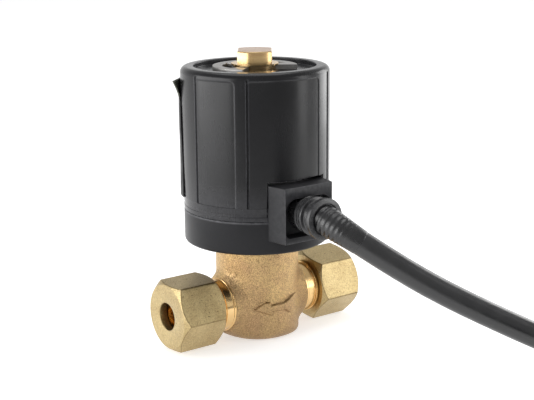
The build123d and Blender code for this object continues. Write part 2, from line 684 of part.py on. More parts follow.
def filleted_route(points):
    """Straight runs joined by tangent arcs, each as large as its two runs allow."""
    vectors = [Vector(*p) for p in points]
    radii = []
    for before, corner, after in zip(vectors, vectors[1:], vectors[2:]):
        turn = (corner - before).get_angle(after - corner)
        shorter = min((corner - before).length, (after - corner).length)
        radii.append(ARC_SHARE * shorter / tan(radians(turn) / 2))
    return FilletPolyline(*vectors, radius=radii), radii


def tube_along(path, radius):
    """Round rod swept along a path."""
    section = Plane(origin=path @ 0, z_dir=path % 0) * Circle(radius)
    return sweep(section, path=path)


def make_cable_grommet():
    """Rubber grommet: hub with a ring, a disc, and a bent, tapered, ribbed sleeve."""
    hub = revolve(
        make_face(
            Plane.YX
            * Polyline(
                (POCKET_FLOOR_Y, 0),
                (POCKET_FLOOR_Y, HUB_RADIUS),
                (RING_BACK_Y, HUB_RADIUS),
                (RING_BACK_Y, RING_RADIUS),
                (RING_FRONT_Y, RING_RADIUS),
                (RING_FRONT_Y, HUB_RADIUS),
                (DISC_BACK_Y, HUB_RADIUS),
                (DISC_BACK_Y, DISC_RADIUS),
                (DISC_FRONT_Y + DISC_ROUND, DISC_RADIUS),
                (DISC_FRONT_Y, DISC_RADIUS - DISC_ROUND),
                (DISC_FRONT_Y, 0),
                close=True,
            )
        ),
        axis=Axis.Y,
    )
    hub = Pos(0, 0, LEAD_AXIS_Z) * hub
    path, _ = filleted_route(SLEEVE_ROUTE)
    sections = [
        Plane(origin=path @ 0, z_dir=path % 0) * Circle(SLEEVE_ROOT_RADIUS),
        Plane(origin=path @ 1, z_dir=path % 1) * Circle(SLEEVE_TIP_RADIUS),
    ]
    grommet = hub + sweep(sections, path=path, multisection=True)
    for number in range(RIB_COUNT):
        along = (number + 1) / (RIB_COUNT + 1)
        taper = SLEEVE_ROOT_RADIUS + (SLEEVE_TIP_RADIUS - SLEEVE_ROOT_RADIUS) * along
        rib = Cylinder(taper + RIB_RISE, RIB_THICKNESS)
        grommet += Plane(origin=path @ along, z_dir=path % along) * rib
    return grommet


def coil_centre():
    """Centre of the put-away coil, which the lead meets as a tangent of its outer turn."""
    x0, y0, _ = CABLE_ROUTE[-2]
    x1, y1, _ = CABLE_ROUTE[-1]
    length = sqrt((x1 - x0) ** 2 + (y1 - y0) ** 2)
    outer_turn = COIL_TURN_RADIUS + CABLE_RADIUS
    return (x1 + (y1 - y0) / length * outer_turn, y1 - (x1 - x0) / length * outer_turn)


def on_coil(radius, azimuth, height):
    """Point about the put-away coil's own axis."""
    cx, cy = coil_centre()
    x, y = polar(radius, azimuth)
    return (cx + x, cy + y, height)


def make_cable_tie():
    """Strap round the put-away coil, with its head on top."""
    inner = CABLE_DIAMETER * 2
    outer = inner + 2 * TIE_THICKNESS
    strap = Box(outer, TIE_WIDTH, outer) - Box(inner, TIE_WIDTH, inner)
    strap += Pos(0, 0, outer / 2 + TIE_THICKNESS / 2) * Box(TIE_HEAD, TIE_WIDTH, TIE_THICKNESS)
    return Pos(*on_coil(COIL_TURN_RADIUS, TIE_AZIMUTH, outer / 2)) * Rot(0, 0, TIE_AZIMUTH) * strap


def make_cable_coil():
    """Outer shape of the put-away turns of the lead, two wide and two high."""
    size = 2 * CABLE_DIAMETER
    section = chamfer(Rectangle(size, size).vertices(), COIL_SECTION_BEVEL)
    middle = TIE_THICKNESS + CABLE_DIAMETER
    coil = revolve(Plane.XZ * Pos(COIL_TURN_RADIUS, middle) * section, axis=Axis.Z)
    return Pos(*coil_centre(), 0) * coil


def make_cable(coil):
    """Lead from the grommet's sleeve down to the put-away coil."""
    path, radii = filleted_route(CABLE_ROUTE)
    tube = tube_along(path, CABLE_RADIUS)
    print("cable radii mm:", [round(r, 1) for r in radii])
    print("cable length mm:", round(path.length, 1), "volume / (section x length):",
          round(tube.volume / (pi * CABLE_RADIUS**2 * path.length), 4))
    return tube - coil


def tail_points():
    """Route of the lead's last stretch, up out of the coil's top turn and along on top of it."""
    top = TIE_THICKNESS + 1.5 * CABLE_DIAMETER
    outer_turn = COIL_TURN_RADIUS + CABLE_RADIUS
    return [
        on_coil(outer_turn + offset, azimuth, top + CABLE_DIAMETER * share)
        for azimuth, offset, share in zip(TAIL_AZIMUTHS, TAIL_OFFSETS, TAIL_RISE_SHARES)
    ]


def make_cable_tail(coil):
    """Last stretch of the sheathed lead, on top of the coil."""
    path, radii = filleted_route(tail_points())
    print("tail radii mm:", [round(r, 1) for r in radii])
    return tube_along(path, CABLE_RADIUS) - coil


def tail_frame():
    """Plane at the end of the sheath, facing along the stripped cores, which droop a little."""
    last, end = [Vector(*p) for p in tail_points()[-2:]]
    way = end - last
    ahead = Vector(way.X, way.Y, 0).normalized()
    aside = ahead.cross(Vector(0, 0, 1))
    return Plane(origin=end, x_dir=aside, z_dir=ahead - Vector(0, 0, CORE_DROOP))


def standing_rod(radius, length):
    """Round rod that starts at its own origin."""
    return Cylinder(radius, length, align=(Align.CENTER, Align.CENTER, Align.MIN))


def make_cable_cores():
    """Two insulated cores where the sheath is stripped back."""
    core = standing_rod(CORE_RADIUS, CORE_LENGTH)
    starts = [Pos(way * CORE_SPACING / 2, 0, LOOSE_GAP) for way in (-1, 1)]
    return Compound(children=[tail_frame() * start * core for start in starts])


def make_core_ferrules():
    """Crimped ferrules on the ends of the two cores."""
    ferrule = standing_rod(FERRULE_COLLAR_RADIUS, FERRULE_COLLAR_LENGTH)
    ferrule += standing_rod(FERRULE_RADIUS, FERRULE_LENGTH)
    reach = LOOSE_GAP + CORE_LENGTH + FACE_GAP
    starts = [Pos(way * CORE_SPACING / 2, 0, reach) for way in (-1, 1)]
    return Compound(children=[tail_frame() * start * ferrule for start in starts])


def build():
    """All pieces of the valve by node name."""
    coil = make_cable_coil()
    tie = make_cable_tie()
    grommet = make_cable_grommet()
    return {
        "valve_body": make_valve_body(),
        "outlet_nut": make_nut(-1, OUTLET_NUT_TURN),
        "inlet_nut": make_nut(1, INLET_NUT_TURN),
        "outlet_olive": make_olive(-1),
        "inlet_olive": make_olive(1),
        "inlet_strainer": make_inlet_strainer(),
        "armature_tube": make_armature_tube(),
        "tube_oring": make_tube_oring(),
        "fixed_core": make_fixed_core(),
        "plunger": make_plunger(),
        "seat_seal": make_seat_seal(),
        "plunger_spring": make_plunger_spring(),
        "retaining_clip": make_retaining_clip(),
        "coil_housing": make_coil_housing(),
        "coil_base": make_coil_base(),
        "bottom_pole_plate": make_pole_plate(STACK_BOTTOM_Z),
        "top_pole_plate": make_pole_plate(STACK_TOP_Z - PLATE_THICKNESS),
        "yoke_sleeve": make_yoke_sleeve(),
        "coil_bobbin": make_coil_bobbin(),
        "coil_winding": make_coil_winding(),
        "lead_wires": make_lead_wires(),
        "cable_grommet": grommet,
        "cable": make_cable(coil) - grommet,
        "cable_coil": coil - tie,
        "cable_tie": tie,
        "cable_tail": make_cable_tail(coil),
        "cable_cores": make_cable_cores(),
        "core_ferrules": make_core_ferrules(),
    }


os.makedirs("parts", exist_ok=True)
for name, piece in build().items():
    export_step(piece, f"parts/{name}.step")
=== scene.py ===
import logging
from collections.abc import Sequence
from dataclasses import dataclass, field
from enum import Enum
from functools import cached_property
from math import atan2, cos, pi, radians, sin, sqrt, tan

import bmesh
import bpy
import numpy as np
from mathutils import Matrix, Vector


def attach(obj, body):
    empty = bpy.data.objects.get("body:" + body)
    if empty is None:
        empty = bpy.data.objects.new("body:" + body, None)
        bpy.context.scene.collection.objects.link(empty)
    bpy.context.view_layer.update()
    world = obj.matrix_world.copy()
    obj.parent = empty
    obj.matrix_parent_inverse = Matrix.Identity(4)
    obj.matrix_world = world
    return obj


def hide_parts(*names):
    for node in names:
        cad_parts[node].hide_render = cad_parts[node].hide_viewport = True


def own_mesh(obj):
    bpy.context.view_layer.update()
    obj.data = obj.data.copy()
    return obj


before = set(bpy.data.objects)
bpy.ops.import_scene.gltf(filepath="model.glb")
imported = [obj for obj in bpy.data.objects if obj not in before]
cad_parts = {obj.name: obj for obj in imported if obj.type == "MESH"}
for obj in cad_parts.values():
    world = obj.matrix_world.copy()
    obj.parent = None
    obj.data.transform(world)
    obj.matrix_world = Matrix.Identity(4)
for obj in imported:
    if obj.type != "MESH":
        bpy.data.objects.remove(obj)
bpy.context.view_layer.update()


log = logging.getLogger("gas_valve")

Array = np.ndarray
MM = 0.001
PIPE_AXIS_Z = 8.95
WELD_DISTANCE = 2e-6
SHARP_ANGLE = radians(38)
ARC_REACH = 0.45
LEAST_REACH = 1e-4
NOISE_CORE = (0.36, 0.64)
NOISE_WIDE = (0.35, 0.65)
BROAD_RINGS = 0.13
SPECK_SHARE = 0.7
SPECK_DARKENING = 0.45
# Painted shade: metal darkens towards the floor, standing in for the shadowed floor that the body's low
# part reflects.
FOOT_SHADE_HEIGHT = 0.012
FOOT_SHADE_TONE = (0.19, 0.12, 0.075, 1.0)
WHITE = (1.0, 1.0, 1.0, 1.0)


class Axis(Enum):
    """Lines that turned pieces go round: columns for local x, y and z, and an origin in mm."""

    STEM = ((1, 0, 0), (0, 1, 0), (0, 0, 1), (0, 0, 0))
    INLET = ((0, 1, 0), (0, 0, 1), (1, 0, 0), (0, 0, PIPE_AXIS_Z))
    OUTLET = ((0, -1, 0), (0, 0, 1), (-1, 0, 0), (0, 0, PIPE_AXIS_Z))
    LEAD = ((1, 0, 0), (0, 0, 1), (0, -1, 0), (0, 0, 34.25))

    def place(self, grid: Array) -> Array:
        """Moves points from the turning frame, whose z is the axis, to the object's frame."""
        columns = np.array(self.value[:3], float)
        return grid @ columns + np.array(self.value[3], float)


def smooth_step(value: Array, low: float, high: float) -> Array:
    """Rises from 0 to 1 between low and high, level at both ends: 3 t squared less 2 t cubed.

    Args:
        value: numbers to map.
        low: value where the rise starts.
        high: value where it ends.

    Returns:
        An array of the same shape.
    """
    t = np.clip((value - low) / (high - low), 0.0, 1.0)
    return t * t * (3.0 - 2.0 * t)


def around(count: int) -> Array:
    """Evenly spaced angles of a whole turn, both ends included."""
    return np.linspace(0.0, 2.0 * pi, count + 1)


def polar(radius: Array, turns: Array, height: Array | float) -> Array:
    """Points from radii, angles in radians and heights: x is r cos a, and y is r sin a."""
    parts = np.broadcast_arrays(radius * np.cos(turns), radius * np.sin(turns), height)
    return np.stack(parts, -1)


def capped(grid: Array, start: Array, end: Array) -> Array:
    """A grid of rings, closed by the point start before it and the point end after it."""
    return np.concatenate([start + 0.0 * grid[:1], grid, end + 0.0 * grid[:1]])


def from_segment(place: Array, start: Array, end: Array) -> Array:
    """Distance of flat points from the segment between start and end."""
    side = end - start
    share = np.clip(((place - start) @ side) / (side @ side), 0.0, 1.0)
    return np.linalg.norm(place - start - share[..., None] * side, axis=-1)


def past_corner(across: Array, along: Array, size: float | Array) -> Array:
    """Distance past two faces that meet in a rounded corner, below 0 inside it.

    Args:
        across: distance past the first face.
        along: distance past the second face.
        size: the corner's radius.

    Returns:
        The length past the corner's centre, less its radius.
    """
    return np.hypot(np.maximum(across + size, 0.0), np.maximum(along + size, 0.0)) - size


def link(name: str, data: bpy.types.ID) -> bpy.types.Object:
    """Makes an object of some data, in the scene's collection."""
    piece = bpy.data.objects.new(name, data)
    bpy.context.scene.collection.objects.link(piece)
    return piece


def thicken(piece: bpy.types.Object, thickness: float, offset: float) -> None:
    """Gives a sheet its wall, thick in mm, by Solidify. At offset -1 the wall goes inwards."""
    wall = piece.modifiers.new("wall", "SOLIDIFY")
    wall.thickness = thickness * MM
    wall.offset = offset


def rounded(corners: Sequence[tuple[float, float, float]], steps: int = 5) -> tuple[Array, Array]:
    """Profile with each corner replaced by an arc that touches both its sides.

    A point of the arc is the centre plus the radius times a direction that swings from one
    touching point to the other.

    Args:
        corners: (radius from the axis, height, radius of the corner) in mm, in order.
        steps: points on each arc.

    Returns:
        The (radius, height) points, and for each one 1 on an arc and 0 elsewhere.
    """
    places = np.array([corner[:2] for corner in corners], float)
    points, shading_and_peel = [places[:1]], [np.zeros(1)]
    sizes = [corner[2] for corner in corners[1:]]
    for before, corner, after, size in zip(places, places[1:], places[2:], sizes):
        way_in, way_out = corner - before, after - corner
        length_in, length_out = np.linalg.norm(way_in), np.linalg.norm(way_out)
        way_in, way_out = way_in / length_in, way_out / length_out
        turn = atan2(way_in[0] * way_out[1] - way_in[1] * way_out[0], float(way_in @ way_out))
        reach = min(size * abs(tan(turn / 2)), ARC_REACH * length_in, ARC_REACH * length_out)
        if reach < LEAST_REACH:
            points.append(corner[None])
            shading_and_peel.append(np.zeros(1))
            continue
        radius = reach / abs(tan(turn / 2))
        side = np.sign(turn)
        centre = corner - way_in * reach + side * radius * np.array([-way_in[1], way_in[0]])
        start = corner - way_in * reach - centre
        swing = np.linspace(0.0, turn, steps)
        arc = np.stack(
            [
                start[0] * np.cos(swing) - start[1] * np.sin(swing),
                start[0] * np.sin(swing) + start[1] * np.cos(swing),
            ],
            -1,
        )
        points.append(centre + arc)
        shading_and_peel.append(np.ones(steps))
    points.append(places[-1:])
    shading_and_peel.append(np.zeros(1))
    return np.concatenate(points), np.concatenate(shading_and_peel)


def lathe(profile: Array, turns: Array, axis: Axis) -> Array:
    """Carries a profile round an axis.

    Args:
        profile: (radius, height) points in mm.
        turns: angles in radians.
        axis: line that the profile goes round.

    Returns:
        A grid of points, one row for each point of the profile.
    """
    return axis.place(polar(profile[:, :1], turns, profile[:, 1:]))


def rounded_outline(
    half: float, low: float, high: float, low_round: float, high_round: float
) -> Array:
    """Rounded rectangle as points (across, height), the same count on each side and corner.

    Args:
        half: half its width.
        low: its lower edge's height.
        high: its upper edge's height.
        low_round: radius of its lower corners.
        high_round: radius of its upper corners.

    Returns:
        Points in order, the first repeated at the end.
    """
    swing = np.linspace(0.0, pi / 2, 7)
    corners = []
    for across, level, size, start in (
        (half, low, low_round, -pi / 2), (half, high, high_round, 0.0),
        (-half, high, high_round, pi / 2), (-half, low, low_round, pi),
    ):
        x = across - np.sign(across) * size
        z = level + (size if level == low else -size)
        arc = np.stack([x + size * np.cos(start + swing), z + size * np.sin(start + swing)], -1)
        corners.append(arc)
    points = []
    for this, following in zip(corners, corners[1:] + corners[:1]):
        share = np.linspace(0.0, 1.0, 8)[1:-1, None]
        points += [this, this[-1] * (1.0 - share) + following[0] * share]
    return np.concatenate(points + [corners[0][:1]])


@dataclass
class Skin:
    """Grids of points gathered into one closed mesh."""

    points: list[Array] = field(default_factory=list)
    quads: list[Array] = field(default_factory=list)
    slots: list[Array] = field(default_factory=list)
    shading_and_peel: list[Array] = field(default_factory=list)
    count: int = 0

    def add(
        self, grid: Array, slot: int = 0, shading_and_peel: Array | float = 0.0, keep: Array | None = None
    ) -> None:
        """Adds one grid.

        Args:
            grid: rows by columns by 3 points in mm.
            slot: material of its faces.
            shading_and_peel: edge value of its points, which sets where a finish paints highlights and
                shade lines along edges (on the bare plate, its peeled corner), as something that spreads
                to rows by columns.
            keep: for each face, whether it is made.
        """
        rows, columns = grid.shape[:2]
        index = np.arange(rows * columns).reshape(rows, columns) + self.count
        quads = np.stack([index[:-1, :-1], index[:-1, 1:], index[1:, 1:], index[1:, :-1]], -1)
        quads = quads[keep] if keep is not None else quads.reshape(-1, 4)
        self.points.append(grid.reshape(-1, 3))
        self.quads.append(quads)
        self.slots.append(np.full(len(quads), slot))
        self.shading_and_peel.append(np.broadcast_to(shading_and_peel, (rows, columns)).ravel())
        self.count += rows * columns

    def build(
        self, name: str, materials: Sequence[bpy.types.Material], sharp: float = SHARP_ANGLE
    ) -> bpy.types.Object:
        """Makes the object, with doubles merged and normals outwards.

        Args:
            name: name of the object.
            materials: one for each slot number used.
            sharp: angle over which an edge is drawn sharp.

        Returns:
            The object, in the scene's collection.
        """
        places = np.concatenate(self.points) * MM
        quads = np.concatenate(self.quads)
        mesh = bpy.data.meshes.new(name)
        mesh.vertices.add(len(places))
        mesh.vertices.foreach_set("co", places.ravel())
        mesh.loops.add(quads.size)
        mesh.loops.foreach_set("vertex_index", quads.ravel())
        mesh.polygons.add(len(quads))
        mesh.polygons.foreach_set("loop_start", np.arange(0, quads.size, 4))
        mesh.polygons.foreach_set("material_index", np.concatenate(self.slots))
        mesh.update(calc_edges=True)
        # Per-point edge value: where finishes paint highlights and shade lines along edges, and the bare
        # plate's peeled corner.
        shading_and_peel = mesh.attributes.new("shading_and_peel", "FLOAT", "POINT")
        shading_and_peel.data.foreach_set("value", np.concatenate(self.shading_and_peel))
        shell = bmesh.new()
        shell.from_mesh(mesh)
        bmesh.ops.remove_doubles(shell, verts=shell.verts, dist=WELD_DISTANCE)
        bmesh.ops.recalc_face_normals(shell, faces=shell.faces)
        shell.to_mesh(mesh)
        shell.free()
        mesh.shade_smooth()
        mesh.set_sharp_from_angle(angle=sharp)
        for material in materials:
            mesh.materials.append(material)
        log.info("%s: %d faces", name, len(mesh.polygons))
        return link(name, mesh)


class Pen:
    """Short calls for adding and joining nodes in one tree."""

    def __init__(self, tree: bpy.types.NodeTree) -> None:
        """Keeps the tree and empties it."""
        self.tree = tree
        tree.nodes.clear()

    def add(self, kind: str, inputs: dict | None = None, **settings: object) -> bpy.types.Node:
        """Adds a node.

        Args:
            kind: the node's type.
            inputs: value or output socket for each named or numbered input.
            **settings: properties of the node.

        Returns:
            The node.
        """
        node = self.tree.nodes.new(kind)
        for name, value in settings.items():
            setattr(node, name, value)
        for name, value in (inputs or {}).items():
            if isinstance(value, bpy.types.NodeSocket):
                self.tree.links.new(value, node.inputs[name])
            else:
                node.inputs[name].default_value = value
        return node

    def maths(self, operation: str, first: object, second: object = 0.0) -> bpy.types.NodeSocket:
        """Output of a Math node."""
        return self.add("ShaderNodeMath", {0: first, 1: second}, operation=operation).outputs[0]

    def span(
        self, value: object, low: object, high: object, to_low: float = 0.0, to_high: float = 1.0
    ) -> bpy.types.NodeSocket:
        """Output of a clamped Map Range node."""
        inputs = {"Value": value, "From Min": low, "From Max": high}
        inputs |= {"To Min": to_low, "To Max": to_high}
        return self.add("ShaderNodeMapRange", inputs).outputs["Result"]

    def blend(
        self, share: object, first: object, second: object, kind: str = "MIX"
    ) -> bpy.types.NodeSocket:
        """Colour output of a Mix node."""
        inputs = {"Factor": share, 6: first, 7: second}
        return self.add("ShaderNodeMix", inputs, data_type="RGBA", blend_type=kind).outputs[2]

    def noise(
        self, vector: object, scale: object, detail: float = 2.0, rough: float = 0.5
    ) -> bpy.types.NodeSocket:
        """Value output of a Noise Texture."""
        inputs = {"Vector": vector, "Scale": scale, "Detail": detail, "Roughness": rough}
        return self.add("ShaderNodeTexNoise", inputs).outputs[0]


@dataclass(frozen=True)
class Plug:
    """One socket of a shader node group."""

    name: str
    kind: str = "NodeSocketFloat"
    value: object = None


VECTOR = Plug("Vector", "NodeSocketVector")


class Effects:
    """Shader node groups that several finishes share, each built once."""

    @staticmethod
    def group(
        name: str, takes: Sequence[Plug], gives: Sequence[Plug]
    ) -> tuple[Pen, bpy.types.Node, bpy.types.Node]:
        """Starts a node group with named sockets.

        Args:
            name: name of the group.
            takes: its inputs.
            gives: its outputs.

        Returns:
            The pen for its tree, and its input and output nodes.
        """
        tree = bpy.data.node_groups.new(name, "ShaderNodeTree")
        for plug in takes:
            socket = tree.interface.new_socket(plug.name, in_out="INPUT", socket_type=plug.kind)
            if plug.value is not None:
                socket.default_value = plug.value
        for plug in gives:
            tree.interface.new_socket(plug.name, in_out="OUTPUT", socket_type=plug.kind)
        pen = Pen(tree)
        return pen, pen.add("NodeGroupInput"), pen.add("NodeGroupOutput")

    @cached_property
    def cast_grain(self) -> bpy.types.NodeTree:
        """Sandy skin of a forging or a moulding: round bumps of two sizes, with sunk specks."""
        takes = [VECTOR, Plug("Grain", value=0.2), Plug("Pitting", value=0.3)]
        pen, taken, given = self.group("cast_grain", takes, [Plug("Height"), Plug("Speck")])
        vector = taken.outputs["Vector"]
        scale = pen.maths("DIVIDE", 1000.0, taken.outputs["Grain"])
        coarse = pen.noise(vector, pen.maths("MULTIPLY", scale, 0.55), 3.0, 0.6)
        cells = pen.add("ShaderNodeTexVoronoi", {"Vector": vector, "Scale": scale, "Randomness": 1.0})
        bump = pen.span(cells.outputs["Distance"], 0.1, 0.8, 1.0, 0.0)
        height = pen.maths("ADD", pen.maths("MULTIPLY", bump, 0.55), pen.maths("MULTIPLY", coarse, 0.9))
        spots = pen.noise(vector, pen.maths("MULTIPLY", scale, 0.8), 1.0, 0.4)
        edge = pen.maths("SUBTRACT", 0.72, pen.maths("MULTIPLY", taken.outputs["Pitting"], 0.2))
        speck = pen.span(spots, edge, pen.maths("ADD", edge, 0.08))
        sunk = pen.maths("SUBTRACT", height, pen.maths("MULTIPLY", speck, 0.5))
        pen.tree.links.new(sunk, given.inputs["Height"])
        pen.tree.links.new(speck, given.inputs["Speck"])
        return pen.tree

    @cached_property
    def lathe_lines(self) -> bpy.types.NodeTree:
        """Fine rings about the local z axis: a one-way noise of the height plus the radius."""
        takes = [VECTOR, Plug("Pitch", value=0.1)]
        pen, taken, given = self.group("lathe_lines", takes, [Plug("Height"), Plug("Band")])
        parts = pen.add("ShaderNodeSeparateXYZ", {0: taken.outputs["Vector"]})
        x_square, y_square = (pen.maths("POWER", parts.outputs[k], 2.0) for k in range(2))
        radius = pen.maths("SQRT", pen.maths("ADD", x_square, y_square))
        along = pen.maths("ADD", parts.outputs[2], radius)
        lines = pen.maths("DIVIDE", along, pen.maths("MULTIPLY", taken.outputs["Pitch"], MM))
        for socket, scale, detail in (("Height", 1.0, 2.0), ("Band", BROAD_RINGS, 1.0)):
            inputs = {"W": lines, "Scale": scale, "Detail": detail}
            rings = pen.add("ShaderNodeTexNoise", inputs, noise_dimensions="1D")
            pen.tree.links.new(rings.outputs[0], given.inputs[socket])
        return pen.tree

    @cached_property
    def edge_shading_and_peel(self) -> bpy.types.NodeTree:
        """Mask for the painted highlights and shade lines along edges, and for the bare plate's peeled
        corner: the piece's own edge value, broken up by noise.
        """
        takes = [VECTOR, Plug("Edge", value=0.0), Plug("Breakup", value=0.5)]
        pen, taken, given = self.group("edge_shading_and_peel", takes, [Plug("Mask")])
        patches = pen.noise(taken.outputs["Vector"], 900.0, 3.0, 0.6)
        gaps = pen.maths("MULTIPLY", pen.span(patches, *NOISE_WIDE), taken.outputs["Breakup"])
        mask = pen.maths("MULTIPLY", taken.outputs["Edge"], pen.maths("SUBTRACT", 1.0, gaps))
        pen.tree.links.new(mask, given.inputs["Mask"])
        return pen.tree

    @cached_property
    def tone_drift(self) -> bpy.types.NodeTree:
        """Slow change of colour over a piece, from one tone to another, with finer mottling on it."""
        takes = [
            VECTOR,
            Plug("Tone", "NodeSocketColor", (0.5, 0.5, 0.5, 1.0)),
            Plug("Other Tone", "NodeSocketColor", (0.4, 0.4, 0.4, 1.0)),
            Plug("Patch", value=6.0),
        ]
        gives = [Plug("Color", "NodeSocketColor")]
        pen, taken, given = self.group("tone_drift", takes, gives)
        scale = pen.maths("DIVIDE", 1000.0, taken.outputs["Patch"])
        slow = pen.noise(taken.outputs["Vector"], scale, 2.0)
        mottle = pen.noise(taken.outputs["Vector"], pen.maths("MULTIPLY", scale, 7.0), 2.0)
        mixed = pen.maths("ADD", pen.maths("MULTIPLY", slow, 0.65), pen.maths("MULTIPLY", mottle, 0.35))
        share = pen.span(mixed, *NOISE_CORE)
        colour = pen.blend(share, taken.outputs["Tone"], taken.outputs["Other Tone"])
        pen.tree.links.new(colour, given.inputs["Color"])
        return pen.tree


EFFECTS = Effects()


@dataclass(frozen=True)
class Finish:
    """What every finish of the valve has: two tones, a roughness and a grain."""

    name: str
    tone: tuple[float, float, float]
    other_tone: tuple[float, float, float]
    roughness: float
    rough_swing: float = 0.08
    patch: float = 6.0
    grain: float = 0.2
    grain_depth: float = 0.01
    pitting: float = 0.0
    # Colour painted along edges by the edge value: painted highlights and shade lines that stand in for
    # light on the edges; on the bare plate, its peeled corner's own colour.
    edge_tone: tuple[float, float, float] | None = None
    edge_share: float = 0.0

    def open(self) -> tuple[bpy.types.Material, Pen, bpy.types.NodeSocket]:
        """Starts the material.

        Returns:
            The material, the pen for its tree, and the object's coordinates.
        """
        material = bpy.data.materials.new(self.name)
        material.use_nodes = True
        pen = Pen(material.node_tree)
        return material, pen, pen.add("ShaderNodeTexCoord").outputs["Object"]

    def colour(self, pen: Pen, vector: bpy.types.NodeSocket) -> bpy.types.NodeSocket:
        """Colour from the tone drift, with painted highlights and shade lines along edges on it (on the
        bare plate, its peeled corner's own colour).
        """
        inputs = {
            "Vector": vector, "Tone": (*self.tone, 1.0),
            "Other Tone": (*self.other_tone, 1.0), "Patch": self.patch,
        }
        drift = pen.add("ShaderNodeGroup", inputs, node_tree=EFFECTS.tone_drift)
        colour = drift.outputs["Color"]
        if self.edge_tone is None:
            return colour
        # Edge value for the painted edge highlights and shade lines, and for the plate's peeled corner.
        edge = pen.add("ShaderNodeAttribute", attribute_name="shading_and_peel").outputs["Fac"]
        inputs = {"Vector": vector, "Edge": edge}
        painted_edge = pen.add("ShaderNodeGroup", inputs, node_tree=EFFECTS.edge_shading_and_peel)
        share = pen.maths("MULTIPLY", painted_edge.outputs["Mask"], self.edge_share)
        return pen.blend(share, colour, (*self.edge_tone, 1.0))

    def grained(self, pen: Pen, vector: bpy.types.NodeSocket) -> bpy.types.Node:
        """The cast grain group, set for this finish."""
        inputs = {"Vector": vector, "Grain": self.grain, "Pitting": self.pitting}
        return pen.add("ShaderNodeGroup", inputs, node_tree=EFFECTS.cast_grain)

    @staticmethod
    def close(pen: Pen, height: bpy.types.NodeSocket, inputs: dict) -> None:
        """Bumps the surface by a height in mm, and joins its shader to the material's output."""
        bump = pen.add("ShaderNodeBump", {"Strength": 1.0, "Distance": MM, "Height": height})
        shader = pen.add("ShaderNodeBsdfPrincipled", inputs | {"Normal": bump.outputs[0]})
        pen.add("ShaderNodeOutputMaterial", {"Surface": shader.outputs[0]})


@dataclass(frozen=True)
class Metal(Finish):
    """Brass, copper or steel: cast or stamped grain, rings left by turning, painted highlights and shade
    lines along edges, and, where set, painted shade towards the foot.
    """

    line_pitch: float = 0.1
    line_depth: float = 0.0
    line_turn: tuple[float, float, float] = (0.0, 0.0, 0.0)
    line_centre: tuple[float, float, float] = (0.0, 0.0, 0.0)
    band_tone: tuple[float, float, float] | None = None
    sparkle: float = 0.0
    foot_shade: float = 0.0

    def material(self) -> bpy.types.Material:
        """The material of this finish."""
        material, pen, vector = self.open()
        colour = self.colour(pen, vector)
        grain = self.grained(pen, vector)
        height = pen.maths("MULTIPLY", grain.outputs["Height"], self.grain_depth)
        low, high = self.roughness - self.rough_swing, self.roughness + self.rough_swing
        rough = pen.span(grain.outputs["Height"], 0.2, 1.2, low, high)
        if self.pitting:
            speck = pen.maths("MULTIPLY", grain.outputs["Speck"], SPECK_SHARE)
            sunk_tone = (*(SPECK_DARKENING * part for part in self.tone), 1.0)
            colour = pen.blend(speck, colour, sunk_tone)
        if self.sparkle:
            grit = pen.span(pen.noise(vector, 1000.0 / self.grain, 2.0, 0.7), *NOISE_CORE)
            dark, light = 1.0 - self.sparkle, 1.0 + self.sparkle
            dark_tone = (dark, dark * 0.97, dark * 0.92, 1.0)
            shade = pen.blend(grit, dark_tone, (light, light, light * 0.97, 1.0))
            colour = pen.blend(1.0, colour, shade, "MULTIPLY")
        # Painted shade towards the floor, in place of the contact shadow reflected in the body's foot.
        if self.foot_shade:
            height_up = pen.add("ShaderNodeSeparateXYZ", {0: vector}).outputs["Z"]
            shade = pen.span(height_up, 0.0, FOOT_SHADE_HEIGHT, self.foot_shade, 0.0)
            colour = pen.blend(shade, colour, FOOT_SHADE_TONE)
        if self.line_depth:
            inputs = {"Vector": vector, "Location": self.line_centre, "Rotation": self.line_turn}
            turned = pen.add("ShaderNodeMapping", inputs, vector_type="TEXTURE")
            inputs = {"Vector": turned.outputs[0], "Pitch": self.line_pitch}
            lines = pen.add("ShaderNodeGroup", inputs, node_tree=EFFECTS.lathe_lines)
            rings = pen.maths("MULTIPLY", lines.outputs["Height"], self.line_depth)
            height = pen.maths("ADD", height, rings)
            if self.band_tone is not None:
                share = pen.span(lines.outputs["Band"], 0.42, 0.62)
                colour = pen.blend(share, colour, (*self.band_tone, 1.0))
        self.close(pen, height, {"Base Color": colour, "Metallic": 1.0, "Roughness": rough})
        return material


@dataclass(frozen=True)
class Polymer(Finish):
    """Plastic or rubber: fine moulded grain, painted highlights along edges (on the bare plate, its
    peeled corner's own colour), and drawing streaks down the surface.
    """

    specular: float = 0.5
    streaks: float = 0.0

    def material(self) -> bpy.types.Material:
        """The material of this finish."""
        material, pen, vector = self.open()
        colour = self.colour(pen, vector)
        grain = self.grained(pen, vector)
        height = pen.maths("MULTIPLY", grain.outputs["Height"], self.grain_depth)
        low, high = self.roughness - self.rough_swing, self.roughness + self.rough_swing
        slow = pen.noise(vector, 1000.0 / self.patch, 2.0)
        rough = pen.span(slow, *NOISE_WIDE, low, high)
        if self.streaks:
            drawn = pen.add("ShaderNodeMapping", {"Vector": vector, "Scale": (1.0, 1.0, 0.04)})
            streak = pen.noise(drawn.outputs[0], 1400.0, 3.0, 0.6)
            swing = pen.maths("MULTIPLY", pen.maths("SUBTRACT", streak, 0.5), self.streaks)
            rough = pen.maths("ADD", rough, swing)
            height = pen.maths("ADD", height, pen.maths("MULTIPLY", streak, 0.01 * self.streaks))
        inputs = {"Base Color": colour, "Roughness": rough, "Specular IOR Level": self.specular}
        self.close(pen, height, inputs)
        return material


